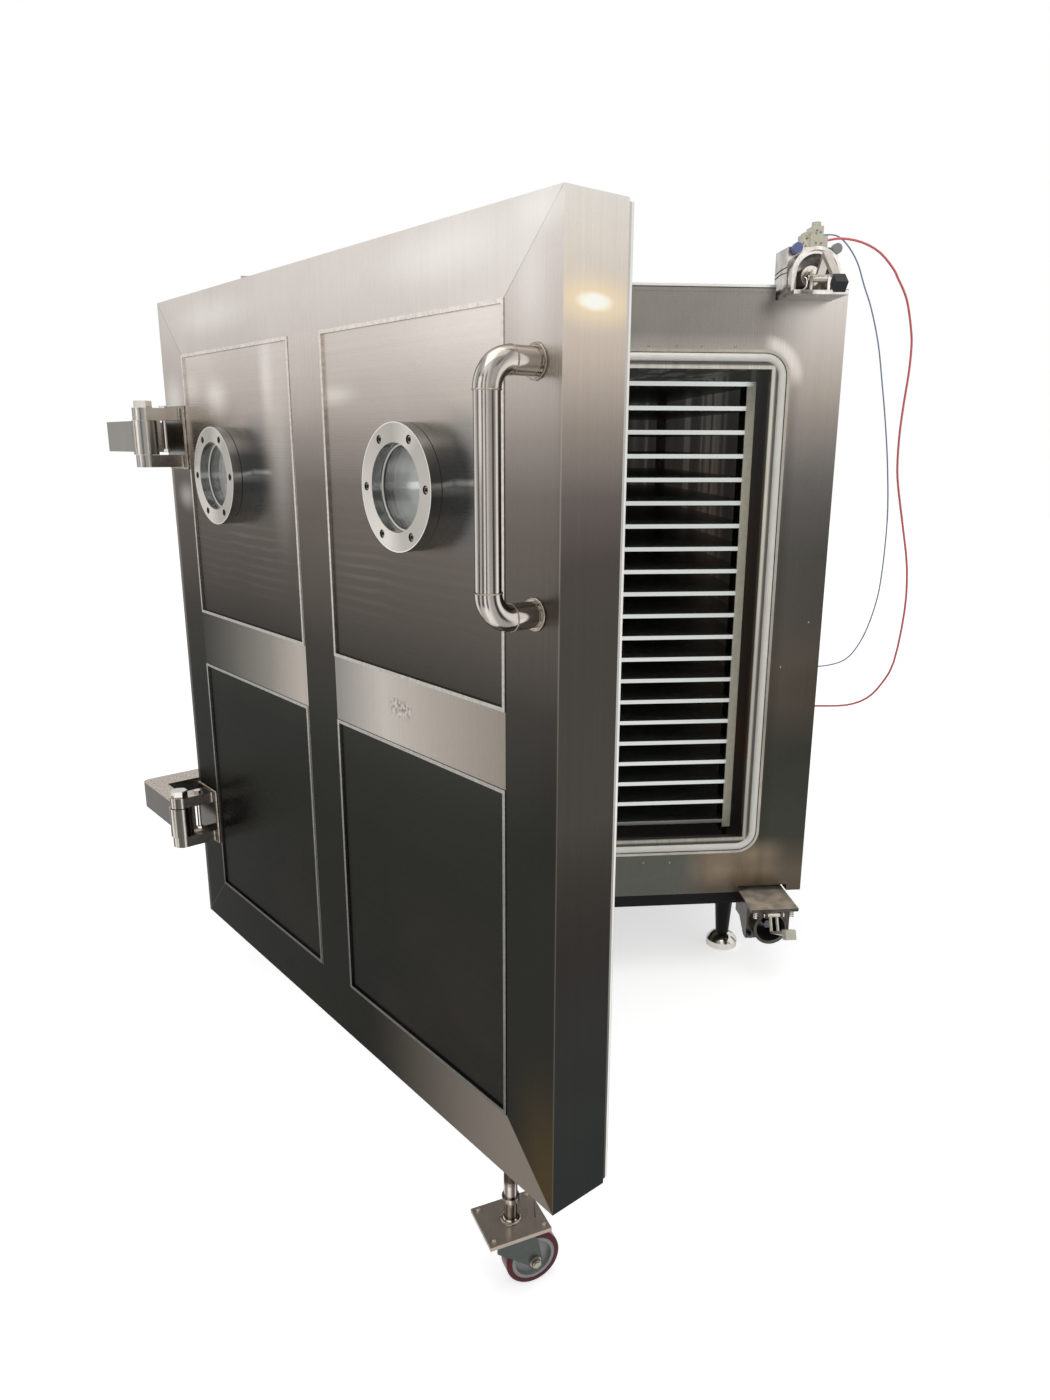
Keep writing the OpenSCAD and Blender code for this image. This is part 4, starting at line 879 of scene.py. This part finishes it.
def make_materials():
    across, upright = (2.5, 1300.0, 1300.0), (1200.0, 1200.0, 2.5)
    return {
        "door sheet": steel("door sheet steel", "door", DOOR_SHADES, across, door_sheet_paint,
                            streaks=0.025, smudges=0.05, lift=1.13),
        "door casing": steel("door casing steel", "door", DOOR_SHADES, upright, casing_paint,
                             streaks=0.025, smudges=0.05, lift=1.02),
        "door strips": steel("door strip steel", "door", DOOR_SHADES, upright, strip_paint,
                             streaks=0.035, smudges=0.06, lift=1.1),
        "bead": steel("ground weld bead", "door", BEAD_SHADES, (400.0, 400.0, 2.5), bead_paint,
                      streaks=0.03, smudges=0.08, rough=(0.24, 0.34), lift=1.08),
        "door liner": steel("door liner steel", "door", LINER_SHADES, upright, liner_paint,
                            streaks=0.03, rough=(0.3, 0.4)),
        "chamber sheet": steel("chamber sheet steel", "chamber", CHAMBER_SHADES, upright,
                               chamber_paint, streaks=0.03, smudges=0.07, base=0.274,
                               height=1.76),
        # the vessel's walls glow a little: painted light in the dark interior
        "vessel": steel("vessel steel", "chamber", VESSEL_SHADES, (120.0, 120.0, 2.5),
                        interior_paint, streaks=0.12, rough=(0.26, 0.4), base=0.42, height=1.45,
                        metallic=0.55, glow=0.22),
        "hood": hood_steel("upper hood steel", (222, 216, 210), 2.058, 0.050, 0.8, 0.6, 0.95),
        "lower hood": hood_steel("lower hood steel", (248, 234, 214), LOWER_CLAMP_Z / 1000, 0.044,
                                 0.45, 0.05, 0.1),
        "shelf": machined("shelf plate", (206, 210, 206), 0.3, (3.0, 400.0, 400.0), 0.05),
        "bright": machined("polished steel", (222, 217, 211), 0.09, (500.0, 500.0, 20.0), 0.04),
        "hood arm": machined("clamp finger steel", (216, 210, 200), 0.16, (500.0, 500.0, 12.0),
                             0.05, 0.2, 0.6),
        "handle": machined("handle tube steel", (216, 209, 201), 0.12, (900.0, 900.0, 3.0), 0.04,
                           0.12, shine=(0.05, 0.8)),
        "satin": machined("satin steel", (168, 162, 153), 0.24, (500.0, 500.0, 12.0), 0.05, 0.3),
        "dull": machined("dull steel", (118, 116, 110), 0.34, (400.0, 400.0, 10.0), 0.1, 0.4),
        "weld": machined("weld bead", (188, 180, 168), 0.3, (300.0, 300.0, 300.0), 0.22, 0.8),
        "post": machined("rack post steel", (96, 96, 90), 0.34, (400.0, 400.0, 8.0), 0.12, 0.4),
        "cylinder": machined("clamp cylinder", (84, 84, 86), 0.26, (500.0, 8.0, 500.0), 0.1),
        "plate": machined("caster plate steel", (184, 172, 160), 0.22, (260.0, 8.0, 260.0), 0.04,
                          0.25, 0.6),
        "flange": flange_steel(),
        "hinge": hinge_steel(),
        "column": column_steel(),
        "glass": sight_glass(),
        "fork": plain("zinc plated fork", (76, 82, 78), 0.28, 0.05, 40, 0.0001, 0.6),
        "frame": plain("frame paint", (20, 20, 22), 0.42, specular=0.15),
        "sleeve": plain("black sleeve", (9, 9, 10), 0.3, specular=0.12),
        "cream": plain("cream nylon", (212, 208, 188), 0.45),
        "rubber": plain("black rubber", (34, 38, 36), 0.5, 0.12, specular=0.3),
        "silicone": plain("white silicone", (238, 236, 227), 0.22, 0.03, 25),
        "foam": plain("dark foam", (30, 30, 29), 0.9),
        "blue": plain("blue plastic", (96, 104, 158), 0.3),
        "grey": plain("grey plastic", (140, 143, 141), 0.4),
        "red tube": plain("red tube", (226, 106, 108), 0.25, 0.02),
        "blue tube": plain("blue tube", (132, 152, 178), 0.25, 0.02),
        "hub": plain("hub nylon", (150, 152, 150), 0.3, 0.06),
        "tyre": plain("tyre polyurethane", (88, 10, 27), 0.2, 0.1, 30, specular=0.22),
        # painted shade: a near-black finish laid where gaps, grooves and the clamp's mouth are in
        # shade
        "slot": plain("painted shade black", (18, 18, 18), 0.8),
    }


MATERIALS = make_materials()

FINISH_NODES = {
    "vessel": ("vessel",),
    "door liner": ("door_liner",),
    "silicone": ("door_seal",),
    "foam": ("insulation", "door_core"),
    "chamber sheet": ("front_cladding", "side_cladding", "rear_cladding"),
    "shelf": ("shelves",),
    "post": ("rack_posts",),
    "cream": ("post_strips", "lower_clamp_pad", "valve_block"),
    "dull": ("fluid_headers",),
    "satin": ("seal_channel", "vacuum_port", "axle_bolt", "sight_screws"),
    "hood arm": ("upper_clamp_arm", "lower_clamp_arm", "upper_clamp_cylinder"),
    "hinge": ("hinge_brackets", "upper_hinge_arm", "lower_hinge_arm", "hinge_leaves"),
    "frame": ("base_frame",),
    "sleeve": ("leg_sleeves",),
    "hood": ("upper_clamp_bracket",),
    "lower hood": ("lower_clamp_bracket",),
    "bright": ("levelling_feet", "bracket_pins", "upper_clamp_pin", "lower_clamp_pin",
               "bulkhead_fittings", "hinge_pins", "hinge_stop_bolts"),
    "bead": ("panel_beads",),
    "cylinder": ("lower_clamp_cylinder",),
    "rubber": ("upper_clamp_pad", "liner_spacer", "sight_gaskets"),
    "blue": ("blue_fitting",),
    "grey": ("grey_fitting",),
    "door casing": ("door_casing",),
    "door strips": ("door_strips",),
    "door sheet": ("upper_left_panel", "upper_right_panel", "lower_left_panel",
                   "lower_right_panel"),
    "flange": ("sight_flanges", "sight_rings"),
    "glass": ("sight_glasses",),
    "handle": ("door_handle",),
    "column": ("caster_column",),
    "plate": ("caster_plate",),
    "fork": ("caster_fork",),
    "hub": ("wheel_hub",),
    "tyre": ("tyre",),
}

for finish, names in FINISH_NODES.items():
    for name in names:
        mesh = nodes[name].data
        mesh.materials.clear()
        mesh.materials.append(MATERIALS[finish])

# ---------------------------------------------------------------- air tubes

RED_POINTS = [
    (718, -8, 2150), (762, -14, 2156), (822, -8, 2149), (878, 0, 2126),
    (921, 4, 2087), (938, 9, 2065), (962, 15, 2032), (979, 20, 1998), (998, 28, 1938),
    (1008, 36, 1894), (1012, 45, 1826), (1010, 54, 1737), (1011, 63, 1652), (1019, 72, 1560),
    (1036, 81, 1488), (1063, 90, 1390), (1092, 98, 1269), (1103, 108, 1138),
    (1096, 130, 974), (1070, 150, 896), (1036, 168, 848), (983, 188, 822),
    (900, 198, 818), (828, 200, 820),
]
BLUE_POINTS = [
    (708, 10, 2167), (759, 20, 2170), (796, 30, 2151), (834, 40, 2108),
    (862, 47, 2050), (892, 56, 1992), (928, 72, 1902), (957, 86, 1793), (983, 100, 1690),
    (1009, 113, 1559), (1029, 126, 1408), (1036, 146, 1224), (1026, 160, 1120),
    (1002, 174, 1032), (964, 188, 972), (900, 198, 950), (828, 200, 950),
]


def air_tube(name, points, steps, radius, material, solid):
    line = curve_points([on_chamber(*p) for p in points], steps)
    tube = new_piece(name, lambda bm: sweep(bm, line, radius / 1000, 14), material)
    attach(tube, "chamber")
    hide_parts(solid)


air_tube("red_tube", RED_POINTS, 3, 3.0, MATERIALS["red tube"], "red_air_tube")
air_tube("blue_tube", BLUE_POINTS, 4, 2.0, MATERIALS["blue tube"], "blue_air_tube")

# ---------------------------------------------------------------- welds

WELD_STEP = 3.0
WELD_WANDER = 0.35


def ripple(i):
    """Uneven thickness along a weld bead."""
    return 1.0 + 0.22 * math.sin(i * 2.1) + 0.12 * math.sin(i * 0.73 + 1.0)


def weld_line(*points):
    """Evenly spaced points along straight runs, wandering a little as a hand weld does."""
    points = [Vector(p) for p in points]
    line = []
    for a, b in zip(points, points[1:]):
        steps = max(2, int((b - a).length / WELD_STEP))
        side = (b - a).cross(Vector((0.3, 0.5, 0.8))).normalized()
        for k in range(steps):
            line.append(a.lerp(b, k / steps) + side * (WELD_WANDER * math.sin(k * 1.3)))
    line.append(points[-1])
    return line


def welds(name, lines, radius, body, closed=False, slot="satin_steel"):
    def build(bm):
        for line in lines:
            bar(bm, body, line, radius, 8, closed, ripple)
    detail(name, build, "weld", body, slot)


def leaf_welds():
    """Beads along the hinge leaves' plates and beside their lugs."""
    near, far, plate_w, half_h = 12, 122, -3, 71
    lug_u, lug_half_w, lug_w, lug_h = 80, 25, -9, 27
    lines = []
    for v in HINGE_V:
        for side in (-half_h, half_h):
            lines.append(weld_line((near, plate_w, v + side), (far, plate_w, v + side)))
        lines.append(weld_line((far - 2, plate_w, v - half_h), (far - 2, plate_w, v + half_h)))
        for lug in (-68.5, 40.5):
            for u in (lug_u - lug_half_w, lug_u + lug_half_w):
                lines.append(weld_line((u, lug_w, v + lug), (u, lug_w, v + lug + lug_h)))
    welds("leaf_welds", lines, 2.6, "door")


def handle_welds():
    """Beads round the handle's feet, and seams where its bends join the straight tubes."""
    feet, seams = [], []
    for s in (-1, 1):
        foot_v, bend_v = HANDLE_V + s * 177, HANDLE_V + s * 137
        feet.append(ring_line((HANDLE_U, -1.5, foot_v), AXIS_X, AXIS_Z, 23.5, 44))
        seams.append(ring_line((HANDLE_U, -86, bend_v), AXIS_X, AXIS_Y, 20.0, 36))
        seams.append(ring_line((HANDLE_U, -46, foot_v), AXIS_X, AXIS_Z, 20.0, 36))
    welds("handle_foot_welds", feet, 2.0, "door", True)
    welds("handle_seams", seams, 1.1, "door", True)


def column_welds():
    """Beads at both ends of the caster column."""
    plate_v, casing_v = -199, -1.5
    welds("column_welds",
          [ring_line((COLUMN_U, COLUMN_W, plate_v), AXIS_X, AXIS_Y, 18.5, 36),
           ring_line((COLUMN_U, COLUMN_W, casing_v), AXIS_X, AXIS_Y, 15, 30)], 2.6, "door", True)


def bracket_welds():
    """Beads round the plates that carry the hinges on the chamber's side."""
    x, front, back, half_h = -802, 20, 200, 72
    lines = []
    for v in HINGE_V:
        z = DOOR_CORNER[2] + v
        lines.append(weld_line((x, front, z - half_h), (x, back, z - half_h),
                               (x, back, z + half_h), (x, front, z + half_h),
                               (x, front, z - half_h)))
    welds("bracket_welds", lines, 3.0, "chamber")


def port_welds():
    """Beads round the vacuum port's pipe and the two fluid stubs at the rear."""
    lines = [ring_line((0, 1402, OPENING_Z), AXIS_X, AXIS_Z, 110.5, 80),
             ring_line((0, 1456, OPENING_Z), AXIS_X, AXIS_Z, 110, 80)]
    lines += [ring_line((x, 1401.5, 580), AXIS_X, AXIS_Z, 25.5, 36) for x in (-400, 400)]
    welds("port_welds", lines, 2.6, "chamber", True)


def clamp_welds():
    """Beads along the feet of the two clamp housings."""
    upper_z, lower_z = 2014, 263
    runs = [((609, -50), (609, 46)), ((745, -50), (745, 46)), ((611, -82), (611, -50)),
            ((743, -82), (743, -50))]
    lines = [weld_line((*a, upper_z), (*b, upper_z)) for a, b in runs]
    lines += [weld_line((x, -70, lower_z), (x, 40, lower_z)) for x in (609, 745)]
    welds("clamp_welds", lines, 1.8, "chamber", slot="polished_steel")


# ---------------------------------------------------------------- fasteners and fittings

# Small screws on the front face: above the opening, below it, along the top, and two alone
FACE_SCREWS = ([(x, 1886) for x in (259, 336, 404, 497)]
               + [(x, 1886) for x in range(-497, 200, 84)]
               + [(295, 385), (377, 382)] + [(x, 383) for x in range(-480, 230, 94)]
               + [(x, 2017) for x in (368, 498, -498, -240, 60)]
               + [(760, 1128), (685, 995)])


def face_screws():
    def build(bm):
        for x, z in FACE_SCREWS:
            button_head(bm, "chamber", (x, 0, z), -AXIS_Y, 3.1, 1.8)
        for side in (-1, 1):
            for z in range(360, 2000, 205):
                for y in (40, 1360):
                    button_head(bm, "chamber", (side * CHAMBER_HALF_W, y, z), AXIS_X * side,
                                4.0, 2.0)
        for x in range(-740, 760, 185):
            for z in (310, 1998):
                button_head(bm, "chamber", (x, CHAMBER_D, z), AXIS_Y, 4.0, 2.0)
    detail("face_screws", build, "satin", "chamber", "satin_steel")


def sight_details():
    """Painted shade: dark rims and sockets of the ring screws. Also the white ring that beds
    each glass, which stands in for the glass edge's highlight too.
    """
    screw_circle, head_w, socket_depth, bed_w = 89, -41.6, 1.6, -21.8

    def rims(bm):
        for u in SIGHT_U:
            for k in range(6):
                a = math.radians(60 * k)
                centre = Vector((u + screw_circle * math.cos(a), head_w,
                                 SIGHT_V + screw_circle * math.sin(a)))
                socket = centre + AXIS_Y * socket_depth
                bar(bm, "door", ring_line(centre, AXIS_X, AXIS_Z, 6.8, 24), 0.7, 6, True)
                bar(bm, "door", ring_line(socket, AXIS_X, AXIS_Z, 2.4, 18), 1.3, 6, True)

    def beds(bm):
        for u in SIGHT_U:
            bar(bm, "door", ring_line((u, bed_w, SIGHT_V), AXIS_X, AXIS_Z, 70.6, 72), 1.9, 8, True)

    # painted shade in the counterbore gaps and screw sockets
    detail("screw_rim_shade", rims, "slot", "door", "polished_steel")
    # a real bed ring, that also stands in for the highlight on the glass edge
    detail("glass_beds", beds, "silicone", "door", "white_silicone")


def clamp_grooves():
    """Painted shade lines for the pressed grooves on the outer side of the upper clamp's housing.
    """
    def build(bm):
        for z_far, z_near in ((2072, 2078), (2061, 2064)):
            bar(bm, "chamber", curve_points([(608.7, 44, z_far), (608.5, -2, z_far + 5),
                                             (608.7, -49, z_near)], 8), 1.1, 6)
    detail("clamp_groove_shade", build, "slot", "chamber", "polished_steel")


def clamp_springs():
    """Coil springs beside the lower finger and bent wires beside the upper one."""
    coil_r, coil_y, coil_z, rise, per_turn = 6, -116, 266, 0.4, 14

    def build(bm):
        for x in (620, 732):
            coil = [(x + coil_r * math.cos(math.tau * k / per_turn),
                     coil_y + coil_r * math.sin(math.tau * k / per_turn),
                     coil_z - k * rise) for k in range(60)]
            bar(bm, "chamber", coil, 1.7, 8)
        for x in (640, 714):
            bar(bm, "chamber", curve_points([(x, -84, 2050), (x + 6, -98, 2042),
                                             (x + 4, -104, 2024), (x - 4, -100, 2014)], 8), 2.2, 8)
    detail("clamp_springs", build, "bright", "chamber", "polished_steel")


def valve_terminals():
    """Small screw heads on the valve block's front, and the ring on its top."""
    def build(bm):
        for centre in ((655, -29, 2140), (662, -29, 2133), (686, -36, 2140), (700, -36, 2140),
                       (690, -29, 2172), (700, -29, 2168), (688, -29, 2165)):
            button_head(bm, "chamber", centre, -AXIS_Y, 2.6, 1.6)
        bar(bm, "chamber", ring_line((695, -6, 2183), AXIS_X, AXIS_Y, 13.0, 30), 1.4, 6, True)
    detail("valve_terminals", build, "grey", "chamber", "grey_plastic")


def lower_mouth():
    """Dark inside of the lower clamp's mouth: painted shade."""
    def build(bm):
        rings = [vertex_ring(bm, "chamber",
                             ring_line((CLAMP_X, y, LOWER_CLAMP_Z), AXIS_X, AXIS_Z, radius, 48))
                 for y, radius in ((-96, 43.4), (-60, 43.2), (-24, 42.6), (-22, 30), (-21.5, 12))]
        bridge(bm, rings)
        bm.faces.new(rings[-1])
    detail("lower_mouth_shade", build, "slot", "chamber", "satin_steel")


def earth_wire():
    """Short bent wire between the door's underside and the caster's plate."""
    line = curve_points([(1318, 70, 1), (1316, 72, -40), (1306, 84, -90), (1296, 104, -140),
                         (1290, 112, -196)], 8)
    detail("earth_wire", lambda bm: bar(bm, "door", line, 1.2, 8), "dull", "door", "satin_steel")


for make in (leaf_welds, handle_welds, column_welds, bracket_welds, port_welds, clamp_welds,
             face_screws, sight_details, clamp_grooves, clamp_springs, valve_terminals,
             lower_mouth, earth_wire):
    make()

# ---------------------------------------------------------------- floor and light

# Dark screens stand round the studio, clear of what the door, its edge and the front mirror.
# Each runs between two turns, from -1 to 1, round the vertical.
SCREENS = ((-0.86, -0.79), (-0.50, -0.41), (-0.31, -0.20), (-0.12, -0.05), (0.20, 0.31),
           (0.53, 0.62), (0.78, 0.86))
FLOOR_CORNERS = ((-14, -14, 0), (14, -14, 0), (14, 18, 0), (-14, 18, 0))
STUDIO_X, STUDIO_Y = -0.75, -0.9
# Strength of the light that pale floor and room give
ROOM_LIGHT = 0.62


def white_to_the_eye(n):
    """1 for the camera and for what metal and glass show, 0 for light itself."""
    path = n.add("ShaderNodeLightPath").outputs
    return n.plus(n.plus(path["Is Camera Ray"], path["Is Glossy Ray"]),
                  path["Is Transmission Ray"], clamp=True)


def mirrored_screens(n, x, y):
    """1 on the dark screens, for what metal shows only."""
    turn = n.math("DIVIDE", n.math("ARCTAN2", x, n.times(y, -1.0)), math.pi)
    bands = [n.inside(turn, low, high, 0.015) for low, high in SCREENS]
    mask = bands[0]
    for band in bands[1:]:
        mask = n.plus(mask, band, clamp=True)
    return mask


def make_floor():
    material, n, shader = new_material("floor")
    here = n.here()
    split = n.add("ShaderNodeSeparateXYZ", Vector=here).outputs
    x, y = n.minus(split["X"], STUDIO_X), n.minus(split["Y"], STUDIO_Y)
    mirrored = n.add("ShaderNodeLightPath").outputs["Is Glossy Ray"]
    shade = n.times(mirrored_screens(n, x, y), n.span(n.distance(x, y), 1.9, 2.6), mirrored)
    pale = n.mix(n.noise(here, 2.0), (0.78, 0.78, 0.78, 1), (0.82, 0.82, 0.82, 1))
    glow = n.times(white_to_the_eye(n), n.span(shade, 0.0, 1.0, ROOM_LIGHT, 0.04))
    n.fill(shader, Base_Color=n.mix(shade, pale, (0.08, 0.075, 0.07, 1)), Roughness=0.8,
           Emission_Color=(1, 1, 1, 1), Emission_Strength=glow)
    floor = new_piece("floor", lambda bm: bm.faces.new([bm.verts.new(p) for p in FLOOR_CORNERS]),
                      material, False)


def make_world():
    """White room; the dark screens in it are seen only in polished metal and glass."""
    world = bpy.data.worlds.new("studio")
    bpy.context.scene.world = world
    world.use_nodes = True
    n = Nodes(world.node_tree)
    look = n.add("ShaderNodeTexCoord").outputs["Generated"]
    x, y, z = n.add("ShaderNodeSeparateXYZ", Vector=look).outputs
    mirrored = n.add("ShaderNodeLightPath").outputs["Is Glossy Ray"]
    dark = n.times(mirrored_screens(n, x, y), n.inside(z, -0.3, 0.6, 0.1), mirrored)
    shown = n.mix(n.times(dark, 0.85), (1, 1, 1, 1), (0.1, 0.095, 0.09, 1))
    seen = white_to_the_eye(n)
    n.fill(world.node_tree.nodes["Background"],
           Color=n.mix(seen, (0.98, 0.985, 1.0, 1), shown),
           Strength=n.span(seen, 0, 1, ROOM_LIGHT, 1.0))


def area_light(name, place, look, size, power, colour=(1, 1, 1)):
    lamp = bpy.data.lights.new(name, "AREA")
    lamp.shape = "RECTANGLE"
    lamp.size = lamp.size_y = size
    lamp.energy = power
    lamp.color = colour
    light = bpy.data.objects.new(name, lamp)
    bpy.context.scene.collection.objects.link(light)
    place, look = Vector(place), Vector(look)
    turn = (look - place).to_track_quat("-Z", "Y").to_matrix().to_4x4()
    light.matrix_world = Matrix.Translation(place) @ turn


make_floor()
make_world()
area_light("top softbox", (-0.8, -1.0, 4.4), (-0.8, 0.2, 1.0), 3.2, 38, (1.0, 0.98, 0.96))
area_light("left softbox", (-4.6, -3.2, 2.6), (-0.9, -0.4, 1.1), 2.4, 16)
area_light("right softbox", (2.4, -4.6, 3.0), (-0.4, -0.2, 1.0), 2.0, 12)

bpy.context.scene.view_settings.view_transform = "Standard"
